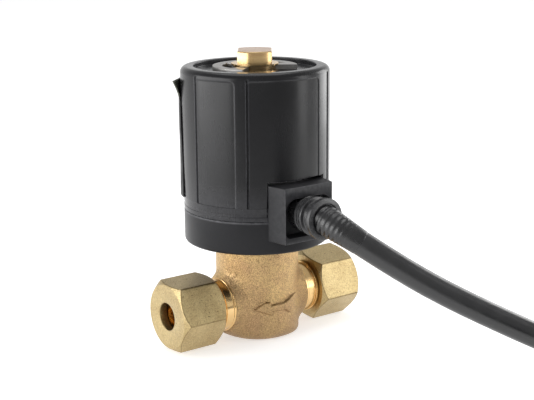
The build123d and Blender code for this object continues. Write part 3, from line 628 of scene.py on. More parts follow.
PIPE_TURN = (0.0, pi / 2, 0.0)
PIPE_CENTRE = (0.0, 0.0, PIPE_AXIS_Z * MM)
FINISHES = (
    Metal(
        "forged_brass", (0.57, 0.40, 0.195), (0.47, 0.31, 0.165), 0.40, 0.12, 5.0, 0.24, 0.12, 0.4,
        (0.30, 0.185, 0.10), 0.7, sparkle=0.36, foot_shade=0.4,
    ),
    Metal(
        "nut_brass", (0.53, 0.42, 0.225), (0.44, 0.335, 0.17), 0.36, 0.09, 4.0, 0.3, 0.04, 0.3,
        (0.11, 0.075, 0.035), 0.9, 0.35, 0.002, PIPE_TURN, PIPE_CENTRE, sparkle=0.17,
    ),
    Metal(
        "turned_brass", (0.83, 0.56, 0.25), (0.78, 0.50, 0.20), 0.17, 0.03, 8.0, 0.4, 0.0, 0.0,
        (0.9, 0.7, 0.42), 0.2, 0.16, 0.0025, PIPE_TURN, PIPE_CENTRE,
    ),
    Metal(
        "stem_brass", (0.80, 0.57, 0.28), (0.70, 0.46, 0.20), 0.22, 0.05, 7.0, 0.4, 0.001, 0.0,
        (0.92, 0.76, 0.5), 0.4, 0.11, 0.008, band_tone=(0.66, 0.44, 0.21),
    ),
    Metal(
        "stem_end", (0.72, 0.60, 0.51), (0.62, 0.49, 0.40), 0.5, 0.06, 4.0, 0.25, 0.004,
        line_pitch=0.13, line_depth=0.004,
    ),
    Metal(
        "clip_steel", (0.40, 0.39, 0.375), (0.33, 0.325, 0.315), 0.42, 0.08, 3.0, 0.16, 0.006, 0.4,
        (0.55, 0.54, 0.52), 0.5,
    ),
    Metal("plate_steel", (0.52, 0.52, 0.54), (0.42, 0.42, 0.44), 0.4, 0.08, 5.0, 0.2, 0.005, 0.2),
    Metal("magnet_steel", (0.55, 0.55, 0.56), (0.46, 0.46, 0.47), 0.3, 0.06, 6.0, 0.3, 0.003),
    Metal("spring_steel", (0.6, 0.6, 0.6), (0.5, 0.5, 0.5), 0.25, 0.05, 3.0, 0.2, 0.002),
    Metal("gauze_steel", (0.45, 0.45, 0.46), (0.2, 0.2, 0.2), 0.45, 0.1, 0.4, 0.12, 0.05, 0.9),
    Metal("winding_copper", (0.62, 0.25, 0.12), (0.5, 0.17, 0.08), 0.3, 0.08, 2.0, 0.3, 0.01),
    Metal("tinned_copper", (0.66, 0.66, 0.67), (0.55, 0.55, 0.57), 0.32, 0.08, 1.5, 0.2, 0.012, 0.3),
    Polymer(
        "coil_plastic", (0.0055, 0.0055, 0.0065), (0.008, 0.008, 0.0095), 0.24, 0.04, 9.0, 0.3,
        0.002, 0.0, (0.075, 0.075, 0.085), 0.45, specular=0.36, streaks=0.12,
    ),
    Polymer(
        "base_plastic", (0.014, 0.014, 0.016), (0.017, 0.017, 0.019), 0.34, 0.04, 14.0, 0.2, 0.003, 0.0,
        (0.17, 0.17, 0.18), 0.6, specular=0.2, streaks=0.06,
    ),
    Polymer("bobbin_plastic", (0.55, 0.53, 0.48), (0.5, 0.48, 0.43), 0.45, 0.06),
    Polymer(
        "plate_film", (0.010, 0.010, 0.011), (0.016, 0.016, 0.017), 0.45, 0.08, 3.0, 0.2, 0.006, 0.0,
        (0.24, 0.25, 0.20), 0.9, specular=0.15,
    ),
    Polymer(
        "grommet_rubber", (0.007, 0.007, 0.008), (0.010, 0.010, 0.011), 0.27, 0.07, 2.0, 0.3, 0.022, 0.5,
        (0.11, 0.11, 0.115), 0.5, specular=0.7,
    ),
    Polymer(
        "cable_sheath", (0.006, 0.006, 0.007), (0.009, 0.009, 0.010), 0.33, 0.05, 3.0, 0.18, 0.006, 0.2,
        specular=0.8,
    ),
    Polymer("seal_rubber", (0.015, 0.015, 0.015), (0.025, 0.025, 0.025), 0.5, 0.08),
    Polymer("tie_nylon", (0.03, 0.03, 0.03), (0.045, 0.045, 0.045), 0.35, 0.05, 2.0, 0.2, 0.004),
    Polymer("core_insulation", (0.045, 0.11, 0.36), (0.04, 0.095, 0.31), 0.36, 0.05, 2.0),
    Polymer("brown_insulation", (0.13, 0.055, 0.025), (0.11, 0.045, 0.02), 0.36, 0.05, 2.0),
)


class Shop:
    """Materials of all finishes, made once."""

    def __init__(self) -> None:
        """Makes every material."""
        self.stock = {finish.name: finish.material() for finish in FINISHES}

    def __getitem__(self, name: str) -> bpy.types.Material:
        """Material of a finish by its name."""
        return self.stock[name]


def fit(piece: bpy.types.Object, body: str, slot: str, *nodes: str) -> bpy.types.Object:
    """Rides a piece on its body and hides the CAD nodes it stands for.

    Args:
        piece: the object.
        body: CAD body that it moves with.
        slot: not used.
        *nodes: CAD nodes that it replaces.

    Returns:
        The same object.
    """
    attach(piece, body)
    if nodes:
        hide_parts(*nodes)
    return piece


@dataclass
class ForgedBody:
    """Forged pillar with a boss at each port, a raised flow arrow, and turned ends. Sizes in mm."""

    pillar_radius: float = 10.25
    height: float = 24.35
    foot_round: float = 3.4
    foot_swell: tuple[float, float, float] = (-38.0, 34.0, 1.9)
    top_round: float = 0.5
    boss_radius: float = 6.9
    boss_end: float = 11.0
    boss_round: float = 0.55
    saddle_round: float = 2.4
    well_radius: float = 8.75
    well_floor: float = 21.55
    ripple: float = 0.035
    arrow_rise: float = 0.65
    arrow_slope: float = 0.3
    arrow_foot: float = 0.12
    # Painted shade line along the arrow's sloping edge, in the dark edge tone; the arrow's top is
    # darkened as well.
    edge_shading_and_peel: float = 0.9
    arrow_top_darkening: float = 0.35
    crease: tuple[tuple[float, float], ...] = (
        (-146.7, 14.5), (-143.5, 13.5), (-139.0, 12.2), (-135.7, 10.9),
    )
    crease_width: float = 0.17
    crease_depth: float = 0.13
    crease_head: float = 0.6
    arrow: tuple[tuple[float, float], ...] = (
        (-131.1, 8.75), (-113.9, 10.6), (-107.5, 10.35), (-107.5, 9.75), (-86.0, 9.9),
        (-72.0, 11.2), (-60.0, 11.3), (-68.0, 9.0), (-62.0, 6.6), (-78.0, 6.8), (-86.0, 7.9),
        (-106.0, 8.05), (-105.6, 6.95),
    )
    collar_radius: float = 6.45
    collar_end: float = 14.5
    stub_end: float = 22.4
    thread_pitch: float = 1.27
    thread_depth: float = 0.5
    thread_root: float = 4.95
    thread_run_out: float = 0.6
    socket_radius: float = 3.225
    socket_stop: float = 14.6

    def distance(self, radius: Array, turn: Array, height: Array) -> Array:
        """Distance from the casting's skin, below 0 inside.

        The pillar and the boss are each a rounded bar: the length of how far the point lies past
        the bar's core, less the edge's radius. They join with a fillet: the fillet's radius less
        the length of how far both distances fall short of it.

        Args:
            radius: distance of the points from the stem axis.
            turn: their angles about it.
            height: their heights.

        Returns:
            An array of distances.
        """
        middle, spread, less = self.foot_swell
        foot = self.foot_round - less * np.exp(-(((np.degrees(turn) - middle) / spread) ** 2))
        out = radius - self.pillar_radius
        low = past_corner(out, -height, foot)
        high = past_corner(out, height - self.height, self.top_round)
        pillar = np.maximum(low, high)
        along = np.abs(radius * np.cos(turn))
        across = np.hypot(radius * np.sin(turn), height - PIPE_AXIS_Z)
        boss = past_corner(across - self.boss_radius, along - self.boss_end, self.boss_round)
        saddle = self.saddle_round
        short = np.hypot(np.maximum(saddle - pillar, 0.0), np.maximum(saddle - boss, 0.0))
        return np.maximum(np.minimum(pillar, boss), saddle) - short

    def skin_radius(self, turn: Array, height: Array) -> Array:
        """Radius of the skin at each place, by halving the span that holds it thirty times."""
        inside = np.zeros(np.broadcast(turn, height).shape)
        outside = np.full_like(inside, 20.0)
        for _ in range(30):
            middle = 0.5 * (inside + outside)
            within = self.distance(middle, turn, height) < 0.0
            inside = np.where(within, middle, inside)
            outside = np.where(within, outside, middle)
        return 0.5 * (inside + outside)

    def laid_flat(
        self, turn: Array, height: Array, marks: Sequence[tuple[float, float]]
    ) -> tuple[Array, Array]:
        """The pillar's skin laid flat.

        Args:
            turn: angles about the stem axis.
            height: heights.
            marks: (angle in degrees, height) of some marks on the skin.

        Returns:
            The flat places of the angles and heights, and those of the marks.
        """
        place = np.stack(np.broadcast_arrays(turn * self.pillar_radius, height), -1)
        return place, np.array([(radians(a) * self.pillar_radius, h) for a, h in marks])

    def crease_dip(self, turn: Array, height: Array) -> Array:
        """Depth of the flow mark beside the arrow: a bell curve of the distance from its line."""
        place, corners = self.laid_flat(turn, height, self.crease)
        nearest = np.hypot(*np.moveaxis(place - corners[0], -1, 0)) * self.crease_head
        for start, end in zip(corners, corners[1:]):
            nearest = np.minimum(nearest, from_segment(place, start, end))
        return self.crease_depth * np.exp(-((nearest / self.crease_width) ** 2))

    def arrow_height(self, turn: Array, height: Array) -> Array:
        """How far the flow arrow stands out: it slopes up from its outline to a flat top.

        Inside the outline a point's distance is the least of its distances from the outline's sides.

        Args:
            turn: angles about the stem axis.
            height: heights.

        Returns:
            An array of rises in mm.
        """
        place, corners = self.laid_flat(turn, height, self.arrow)
        nearest = np.full(place.shape[:-1], np.inf)
        crossings = np.zeros(place.shape[:-1], int)
        for start, end in zip(corners, np.roll(corners, -1, 0)):
            nearest = np.minimum(nearest, from_segment(place, start, end))
            side = end - start
            spans = (start[1] > place[..., 1]) != (end[1] > place[..., 1])
            reach = start[0] + (place[..., 1] - start[1]) * side[0] / (side[1] if side[1] else 1e-9)
            crossings += spans & (place[..., 0] < reach)
        depth = np.where(crossings % 2 == 1, nearest, -nearest)
        return self.arrow_rise * smooth_step(depth, -self.arrow_foot, self.arrow_slope)

    def casting(self, shop: Shop) -> bpy.types.Object:
        """Casting: a skin r(angle, height), closed by its foot and by the well in its top."""
        turns = np.linspace(-pi, pi, 481)
        low = self.foot_round * (1.0 - np.cos(np.linspace(0.0, pi / 2, 22)))
        middle = np.linspace(self.foot_round, self.height - self.top_round, 170)[1:]
        high = self.height - self.top_round * (1.0 - np.sin(np.linspace(0.0, pi / 2, 7)[1:]))
        heights = np.concatenate([low, middle, high])[:, None]
        radius = self.skin_radius(turns[None], heights)
        rise = self.arrow_height(turns[None], heights)
        ripple = np.sin(9.0 * turns + 0.9 * heights) * np.sin(0.7 * heights + 3.0 * np.cos(2.0 * turns))
        ripple = self.ripple * ripple
        for depth in (heights, self.height - heights):
            ripple = ripple * smooth_step(depth, 0.0, 2.0)
        radius = radius + rise + ripple - self.crease_dip(turns[None], heights)
        # Painted shade: a dark line on the arrow's sloping edge, and a darker top.
        share = rise / self.arrow_rise
        edge = np.exp(-(((share - 0.4) / 0.3) ** 2)) * (share > 0.0)
        shading_and_peel = np.maximum(self.edge_shading_and_peel * edge, self.arrow_top_darkening * share)
        skin = Skin()
        grid = polar(radius, turns, heights)
        skin.add(grid, 0, shading_and_peel)
        foot = grid[:1] * np.array([[[1.0]], [[0.5]], [[0.0]]])
        skin.add(foot)
        wall, floor = self.well_radius, self.well_floor
        well = np.array([(wall, self.height), (wall, floor), (0.0, floor)])
        skin.add(np.concatenate([grid[-1:], lathe(well, turns, Axis.STEM)]))
        piece = skin.build("forged_body", [shop["forged_brass"]], radians(50))
        return fit(piece, "valve", "forged_brass", "valve_body")

    def turned_end(self, name: str, axis: Axis, shop: Shop) -> bpy.types.Object:
        """Turned collar, threaded stub, cone mouth and pipe socket of one port."""
        turns = around(120)
        collar, root = self.collar_radius, self.thread_root
        start, end = self.collar_end + 0.5, self.stub_end - 0.3
        outer, outer_highlight = rounded(
            [
                (0.0, 10.6, 0.0), (collar + 0.15, 10.6, 0.0), (collar + 0.15, 11.35, 0.15),
                (collar - 0.12, 11.5, 0.2), (collar - 0.12, 13.35, 0.1),
                (collar - 0.4, 13.45, 0.1), (collar - 0.4, 13.75, 0.1),
                (collar, 13.85, 0.12), (collar, self.collar_end, 0.15),
                (root, self.collar_end, 0.1), (root, start, 0.0),
            ]
        )
        along = np.linspace(start, end, 97)[:, None]
        phase = along / self.thread_pitch + turns[None] / (2.0 * pi)
        ridge = 1.0 - 2.0 * np.abs(phase - np.floor(phase) - 0.5)
        run_out = self.thread_run_out
        fade = smooth_step(along, start, start + run_out) * smooth_step(-along, -end, -end + run_out)
        radius = root + self.thread_depth * smooth_step(ridge, 0.1, 0.9) * fade
        socket, stop = self.socket_radius, self.socket_stop
        inner, inner_highlight = rounded(
            [
                (root, end, 0.0), (root - 0.05, self.stub_end, 0.08),
                (socket + 1.5, self.stub_end, 0.08), (socket, self.stub_end - 2.2, 0.1),
                (socket, stop, 0.0), (2.6, stop, 0.05), (2.6, 14.0, 0.0),
                (2.0, 14.0, 0.0), (2.0, 11.2, 0.0), (0.0, 11.2, 0.0),
            ]
        )
        skin = Skin()
        # Painted highlights on the rounded edges of the collar, groove, stub and mouth.
        skin.add(lathe(outer, turns, axis), 0, outer_highlight[:, None])
        skin.add(axis.place(polar(radius, turns, along)))
        skin.add(lathe(inner, turns, axis), 0, inner_highlight[:, None])
        return fit(skin.build(name, [shop["turned_brass"]]), "valve", "forged_brass", "valve_body")

    def build(self, shop: Shop) -> None:
        """Makes the casting and its two turned ends."""
        self.casting(shop)
        self.turned_end("outlet_end", Axis.OUTLET, shop)
        self.turned_end("inlet_end", Axis.INLET, shop)


@dataclass
class PipeNut:
    """Hexagon compression nut, chamfered at both ends, with its cavity and bore. Sizes in mm."""

    node: str
    axis: Axis
    turn: float
    flats: float = 15.88
    inner_face: float = 14.65
    outer_face: float = 26.55
    face_radius: float = 7.75
    chamfer: float = 1.2
    bore: float = 3.3
    cavity: float = 5.5
    cavity_depth: float = 7.9
    cavity_cone: tuple[float, float] = (22.9, 24.6)
    corner_power: float = 90.0
    # Widths of the painted shade lines along the hexagon's corners and the chamfers' edges.
    corner_shade_width: float = 0.13
    edge: float = 0.05
    edge_shading_and_peel: float = 0.07
    shifts: tuple[float, ...] = (-0.14, -0.05, 0.0, 0.05, 0.14, 0.4)

    def hexagon(self, turns: Array) -> tuple[Array, Array]:
        """Radius of a hexagon with slightly rounded corners, and how near each angle is to a corner.

        The radius is the flat's distance over a high-power mean of the cosines to the six flats.

        Args:
            turns: angles in radians.

        Returns:
            Radii in mm, and values from 0 to 1.
        """
        flats = radians(self.turn) + np.arange(6)[:, None] * pi / 3.0 + pi / 6.0
        facing = np.maximum(np.cos(turns[None] - flats), 0.0)
        radius = self.flats / 2.0 / np.sum(facing**self.corner_power, 0) ** (1.0 / self.corner_power)
        from_corner = (pi / 6.0 - np.arccos(np.clip(facing.max(0), -1.0, 1.0))) * self.flats / 2.0
        return radius, np.exp(-((from_corner / self.corner_shade_width) ** 2))

    def build(self, shop: Shop) -> bpy.types.Object:
        """Rows of the nut at each angle: cavity, inner face, cone, flats, cone, outer face, bore.

        Each cone meets a flat where the flat's radius equals the face's radius plus the cone's slope
        times the depth, so the rows near that line bend with it.
        """
        sector = pi / 6.0 * np.sin(np.linspace(-pi / 2, pi / 2, 27))
        sectors = [sector[:-1] + k * pi / 3.0 for k in range(6)]
        turns = np.concatenate(sectors + [sector[-1:] + 5 * pi / 3.0])
        turns = turns + radians(self.turn) + pi / 6.0
        radius, corner = self.hexagon(turns)
        slope = (self.flats / sqrt(3.0) + self.edge - self.face_radius) / self.chamfer
        meet = (radius - self.face_radius) / slope
        flat_rows = [(np.full_like(meet, depth), 0.0, 0.0) for depth in (0.0, self.edge)]
        # Rows near each chamfer's edge carry painted shade lines.
        bent_rows = [
            (
                np.maximum(meet + shift, self.edge + 0.02 + 0.02 * shift),
                np.exp(-((shift / self.edge_shading_and_peel) ** 2)),
                float(shift > 0.0),
            )
            for shift in self.shifts
        ]
        steps = flat_rows + bent_rows
        rows, heights, edge_shadings = [], [], []

        def row(row_radius: Array | float, height: Array | float, shading_and_peel: Array | float = 0.0) -> None:
            """Adds one row of the skin."""
            rows.append(np.broadcast_to(row_radius, turns.shape))
            heights.append(np.broadcast_to(height, turns.shape))
            edge_shadings.append(np.broadcast_to(shading_and_peel, turns.shape))

        def end(face: float, outwards: float) -> None:
            """Adds the rows of one end: cone and start of the flats, from its face or back to it."""
            for depth, near, past in steps[:: int(outwards)]:
                cone = self.face_radius + slope * depth
                gap = np.clip(0.5 + 0.5 * (radius - cone) / self.edge, 0.0, 1.0)
                soft = radius * (1.0 - gap) + cone * gap - self.edge * gap * (1.0 - gap)
                row(soft, face + outwards * depth, np.maximum(near, corner * past))

        row(self.cavity, self.inner_face + self.cavity_depth)
        row(self.cavity, self.inner_face + 0.3)
        row(self.cavity + 0.3, self.inner_face)
        row(self.face_radius - 0.12, self.inner_face)
        end(self.inner_face, 1.0)
        # The corners of the flats carry painted shade lines.
        for share in (0.25, 0.5, 0.75):
            row(radius, self.inner_face + share * (self.outer_face - self.inner_face), corner)
        end(self.outer_face, -1.0)
        row(self.face_radius - 0.12, self.outer_face)
        row(self.bore + 0.35, self.outer_face)
        # A painted shade line round the bore's mouth.
        row(self.bore + 0.08, self.outer_face - 0.08, 0.6)
        row(self.bore, self.outer_face - 0.3, 0.3)
        row(self.bore, self.cavity_cone[1])
        row(self.cavity, self.cavity_cone[0])
        row(self.cavity, self.inner_face + self.cavity_depth)
        skin = Skin()
        skin.add(self.axis.place(polar(np.array(rows), turns, np.array(heights))), 0, np.array(edge_shadings))
        piece = skin.build(f"{self.node}_hexagon", [shop["nut_brass"]], radians(32))
        return fit(piece, self.node, "nut_brass", self.node)


@dataclass
class CoilShell:
    """Moulded upper shell of the coil, with panels, a rim, a shallow well and a notch. Sizes in mm."""

    seam: float = 32.5
    panel_bottom: float = 35.72
    panel_top: float = 66.0
    rim_top: float = 67.15
    floor: float = 65.85
    radius: float = 18.0
    band_radius: float = 17.75
    rim_inner: float = 14.8
    shoulder: float = 1.5
    hole: float = 5.95
    notch_top: float = 41.9
    notch_half: float = 27.0
    thickness: float = 1.2
    bead: tuple[float, ...] = (1.05, 1.12, 1.75, 1.82)
    bead_depth: float = 0.07
    levels: tuple[float, ...] = (
        43.5, 46.0, 50.0, 55.0, 60.0, 63.6, 63.9, 64.1, 64.3, 64.5, 64.7, 64.85, 65.0,
        65.15, 65.25, 65.35, 65.45, 65.55,
    )
    line_steps: tuple[float, ...] = (0.25, 0.5, 0.8, 1.2, 1.6, 1.9, 2.2, 2.6)
    grooves: tuple[tuple[float, float, float], ...] = (
        (-176.0, 0.45, 0.35), (-131.5, 0.4, 0.35), (-53.5, 1.2, 0.5), (-4.0, 0.5, 0.35),
        (60.0, 0.5, 0.35), (110.0, 0.5, 0.35),
    )
    panels: tuple[tuple[float, float], ...] = (
        (-176.4, -141.0), (-132.0, -69.7), (-4.0, 60.0), (60.0, 110.0),
    )
    panel_depth: float = 0.18
    panel_corner: float = 1.1
    panel_head: float = 65.3

    def away_from(self, turns: Array, middle: float) -> Array:
        """Distance along the skin, in mm, from a line at an angle in degrees."""
        return np.abs((turns - middle + 180.0) % 360.0 - 180.0) * radians(1) * self.radius

    def relief(self, turns: Array, heights: Array) -> tuple[Array, Array]:
        """How deep the grooves and panels go, and the painted highlight beside them.

        A groove is a rounded notch in the angle. A panel is a rounded rectangle: its distance is the
        length past its core less its corner's radius, and its depth rises over a narrow slope.

        Args:
            turns: angles in degrees.
            heights: heights in mm.

        Returns:
            Depths in mm, and values from 0 to 1 for the painted highlights beside them.
        """
        depth = np.zeros(np.broadcast(turns, heights).shape)
        edge = np.zeros_like(depth)
        inside = smooth_step(heights, self.panel_bottom - 0.02, self.panel_bottom + 0.1)
        inside = inside * smooth_step(-heights, -self.panel_top, -self.panel_top + 0.3)
        for middle, width, deep in self.grooves:
            away = self.away_from(turns, middle)
            sunk = smooth_step(-away, -width / 2 - 0.1, -width / 2 + 0.1)
            depth = np.maximum(depth, deep * sunk * inside)
            # Painted highlight along each groove's edge.
            edge = np.maximum(edge, np.exp(-(((away - width / 2 - 0.12) / 0.12) ** 2)) * inside)
        for start, end in self.panels:
            half = (end - start) / 2 * radians(1) * self.radius
            away = self.away_from(turns, (start + end) / 2)
            past = past_corner(away - half, heights - self.panel_head, self.panel_corner)
            depth = np.maximum(depth, self.panel_depth * smooth_step(-past, -0.12, 0.12) * inside)
            # Painted highlight along each panel's edge.
            edge = np.maximum(edge, np.exp(-(((past - 0.16) / 0.1) ** 2)) * inside)
        return depth, edge

    def columns(self, notch: tuple[float, float]) -> Array:
        """Angles of the skin's columns: even ones, and closer ones beside every groove and panel.

        Args:
            notch: angles of the notch's sides, which are columns too.

        Returns:
            The angles in degrees, in order.
        """
        lines = [middle for middle, _, _ in self.grooves]
        lines += [side for panel in self.panels for side in panel]
        steps = np.array(self.line_steps)
        near = np.concatenate([-steps[::-1], [0.0], steps])
        turns = np.concatenate([np.linspace(-180.0, 180.0, 181)] + [line + near for line in lines])
        kept = (*notch, -180.0, 180.0)
        turns = np.concatenate([turns, kept])
        turns = np.unique(np.round(turns[(turns >= -180.0) & (turns <= 180.0)], 3))
        return turns[np.concatenate([[True], np.diff(turns) > 0.12]) | np.isin(turns, kept)]

    def wall(self) -> tuple[Array, Array]:
        """Profile of the skin: beaded band, panels, round shoulder, rim and well.

        Returns:
            The (radius, height) points, and for each one 1 on a rounded edge and 0 elsewhere.
        """
        band, bead = self.band_radius, self.band_radius - self.bead_depth
        foot, low, high, head = (self.seam + rise for rise in self.bead)
        top = self.notch_top
        swing = np.linspace(0.0, pi / 2, 14)
        return rounded(
            [
                (band - 0.4, self.seam, 0.0), (band, self.seam, 0.22), (band, foot, 0.05),
                (bead, low, 0.05), (bead, high, 0.05), (band, head, 0.05),
                (band, self.panel_bottom, 0.04), (self.radius, self.panel_bottom, 0.09),
                *((self.radius, level, 0.0) for level in (top, top + 0.1, top + 0.4, *self.levels)),
                *(
                    (
                        self.radius - self.shoulder * (1.0 - cos(angle)),
                        self.rim_top - self.shoulder * (1.0 - sin(angle)),
                        0.0,
                    )
                    for angle in swing
                ),
                (self.rim_inner, self.rim_top, 0.25), (self.rim_inner, self.floor, 0.2),
                (self.hole + 2.0, self.floor, 0.0), (self.hole, self.floor, 0.0),
            ],
            7,
        )

    def build(self, shop: Shop) -> bpy.types.Object:
        """Outer skin from the seam over the rim and into the well, given its wall by Solidify."""
        notch = (-90.0 - self.notch_half, -90.0 + self.notch_half)
        turns = self.columns(notch)
        wall, wall_highlight = self.wall()
        out, up = wall[:, :1], wall[:, 1:]
        depth, edge = self.relief(turns[None], up)
        sunk = (out > self.band_radius + 0.01) | ((up > 60.0) & (out > self.radius - 1.0))
        grid = polar(out - np.where(sunk, depth, 0.0), np.radians(turns), up)
        rows = np.arange(len(wall) - 1)[:, None]
        top = int(np.argmin(np.abs(up - self.notch_top) + 100.0 * (out < self.radius - 0.01)))
        centre = 0.5 * (turns[:-1] + turns[1:])
        cut = (rows < top) & (centre > notch[0]) & (centre < notch[1])
        skin = Skin()
        # Painted highlights beside grooves and panels and on the rounded rim edges.
        skin.add(grid, 0, np.maximum(edge, 0.6 * wall_highlight[:, None]), ~cut)
        piece = skin.build("coil_shell", [shop["coil_plastic"]])
        thicken(piece, self.thickness, -1.0)
        return fit(piece, "coil", "coil_plastic", "coil_housing")


@dataclass
class CoilBase:
    """Moulded base cup with its spigot, and the cable block on its front. Sizes in mm."""

    bottom: float = 24.45
    top: float = 32.44
    radius: float = 17.75
    hole: float = 5.95
    edge_round: float = 0.7
    floor: float = 26.4
    spigot: tuple[float, float] = (16.4, 15.25)
    spigot_top: float = 35.4
    block_front: float = -21.1
    block_back: float = -14.0
    front_half: float = 6.9
    back_half: float = 8.3
    block_bottom: float = 27.8
    block_top: float = 41.15
    pocket_half: float = 6.7
    pocket_bottom: float = 29.2
    pocket_top: float = 38.4
    pocket_floor: float = -18.2
    lead_height: float = 34.25

    def cup(self, skin: Skin) -> None:
        """Cup, as one profile carried all the way round the stem."""
        outer, inner = self.spigot
        profile, shading_and_peel = rounded(
            [
                (self.hole, self.floor, 0.0), (self.hole, self.bottom, 0.15),
                (self.radius, self.bottom, self.edge_round),
                (self.radius, self.top - 0.6, 0.0), (self.radius, self.top, 0.45),
                (outer, self.top, 0.05), (outer, self.spigot_top, 0.1),
                (inner, self.spigot_top, 0.1), (inner, self.floor, 0.2), (self.hole, self.floor, 0.0),
            ]
        )
        # Painted highlight along the cup's top edge at the seam.
        shading_and_peel = shading_and_peel * (profile[:, 1] > self.top - 1.0)
        skin.add(lathe(profile, around(180), Axis.STEM), 0, shading_and_peel[:, None])

    def block(self, skin: Skin) -> None:
        """Cable block: outlines set one behind another, from its root to the floor of its pocket."""
        low, high, half = self.block_bottom, self.block_top, self.front_half
        front, floor, lead = self.block_front, self.pocket_floor, self.lead_height
        rows, edge_shadings = [], []

        def outline(
            depth: float, side: float, bottom: float, top: float, corners: Sequence[float], shading_and_peel: float
        ) -> None:
            """Adds one outline at its depth."""
            points = rounded_outline(side, bottom, top, *corners)
            rows.append(np.stack([points[:, 0], np.full(len(points), depth), points[:, 1]], -1))
            edge_shadings.append(np.full(len(points), shading_and_peel))

        def pocket(
            depth: float, grow: float, lift: float, corners: Sequence[float], shading_and_peel: float
        ) -> None:
            """Adds the pocket's outline, grown to its sides and up and down."""
            bottom, top = self.pocket_bottom - lift, self.pocket_top + lift
            outline(depth, self.pocket_half + grow, bottom, top, corners, shading_and_peel)

        for _ in range(2):
            outline(self.block_back, self.back_half, low, high, (0.25, 0.25), 0.0)
        # Painted highlights along the block's front edge and the pocket's rim.
        outline(front + 0.22, half + 0.04, low, high, (0.25, 0.25), 0.3)
        outline(front + 0.07, half - 0.02, low + 0.06, high - 0.06, (0.25, 0.25), 1.0)
        outline(front, half - 0.2, low + 0.22, high - 0.22, (0.2, 0.2), 0.6)
        pocket(front, 0.1, 0.2, (1.6, 3.1), 0.3)
        pocket(front + 0.06, 0.05, 0.05, (1.5, 3.0), 0.9)
        pocket(front + 0.25, 0.0, 0.0, (1.5, 3.0), 0.2)
        pocket(floor - 0.2, 0.0, 0.0, (1.5, 3.0), 0.0)
        pocket(floor, -0.2, -0.2, (1.4, 2.9), 0.0)
        outline(floor, 1.0, lead - 1.0, lead + 1.0, (0.99, 0.99), 0.0)
        outline(floor, 0.001, lead - 0.001, lead + 0.001, (0.001, 0.001), 0.0)
        middle = np.array([0.0, self.block_back, 0.5 * (low + high)])
        rows[0] = middle + 0.0 * rows[0]
        skin.add(np.array(rows), 0, np.array(edge_shadings))

    def build(self, shop: Shop) -> bpy.types.Object:
        """Makes the base as one piece."""
        skin = Skin()
        self.cup(skin)
        self.block(skin)
        piece = skin.build("coil_base_cup", [shop["base_plastic"]])
        return fit(piece, "coil", "coil_plastic", "coil_base")


@dataclass
class Grommet:
    """Rubber grommet in the cable block: hub, ring, disc, and a bent, ribbed sleeve. Sizes in mm."""

    route: tuple[tuple[float, float, float], ...] = (
        (0.0, -26.4, 34.25), (1.0, -31.95, 32.4), (4.0, -34.9, 29.7),
    )
    root_radius: float = 3.45
    tip_radius: float = 2.95
    rib_count: int = 9
    rib_rise: float = 0.11
    rib_foot: float = 0.42
    rib_crest: float = 0.05
    ribs_fade: tuple[float, float] = (0.25, 0.85)

    def head(self, skin: Skin) -> None:
        """Hub, ring, neck and disc, as one profile round the lead's axis."""
        profile, shading_and_peel = rounded(
            [
                (0.0, 18.2, 0.0), (4.1, 18.2, 0.0), (4.1, 20.6, 0.1), (4.35, 20.7, 0.1),
                (4.35, 21.2, 0.1), (4.1, 21.3, 0.1), (4.1, 21.7, 0.1), (4.4, 21.8, 0.1),
                (4.4, 22.3, 0.1), (4.15, 22.4, 0.1), (4.15, 22.8, 0.1), (4.6, 22.9, 0.12),
                (4.6, 23.6, 0.18), (3.7, 23.8, 0.3), (3.7, 25.9, 0.3), (4.9, 26.1, 0.12),
                (4.9, 27.2, 0.16), (3.7, 27.35, 0.1), (3.6, 27.0, 0.1), (0.0, 27.0, 0.0),
            ]
        )
        # Painted highlights on the head's rounded edges.
        skin.add(lathe(profile, around(96), Axis.LEAD), 0, 0.8 * shading_and_peel[:, None])

    def sleeve(self, skin: Skin) -> None:
        """Sleeve: circles along the curve that the route's three points control.

        The curve's place at share t is the route's points weighed by (1 - t) squared, 2 t (1 - t) and
        t squared. The radius tapers along it and swells at each rib.
        """
        share = np.linspace(0.0, 1.0, 121)
        first, second, third = np.array(self.route)
        t = share[:, None]
        centre = (1 - t) ** 2 * first + 2 * t * (1 - t) * second + t**2 * third
        ahead = 2 * (1 - t) * (second - first) + 2 * t * (third - second)
        ahead = ahead / np.linalg.norm(ahead, axis=1, keepdims=True)
        side = np.cross(ahead, [0.0, 0.0, 1.0])
        side = side / np.linalg.norm(side, axis=1, keepdims=True)
        over = np.cross(side, ahead)
        taper = self.root_radius + (self.tip_radius - self.root_radius) * share
        phase = share * (self.rib_count + 1)
        away = np.abs(phase - np.clip(np.round(phase), 1, self.rib_count))
        full, bare = self.ribs_fade
        rib = smooth_step(-away, -self.rib_foot, -self.rib_crest) * smooth_step(-share, -bare, -full)
        radius = taper + self.rib_rise * rib
        radius[-4:] -= np.array([0.0, 0.01, 0.03, 0.06])
        turns = around(64)
        turns = turns[None, :, None]
        ring = side[:, None] * np.cos(turns) + over[:, None] * np.sin(turns)
        grid = centre[:, None] + radius[:, None, None] * ring
        # Painted highlights on the rib crests, fading along the sleeve.
        edge = 0.3 * np.exp(-((away / 0.2) ** 2)) * (1.0 - share)
        shading_and_peel = np.concatenate([[0.0], edge, [0.0]])[:, None]
        skin.add(capped(grid, centre[:1, None], centre[-1:, None]), 0, shading_and_peel)

    def build(self, shop: Shop) -> bpy.types.Object:
        """Makes the grommet as one piece."""
        skin = Skin()
        self.head(skin)
        self.sleeve(skin)
        piece = skin.build("lead_grommet", [shop["grommet_rubber"]])
        return fit(piece, "coil", "grommet_rubber", "cable_grommet")


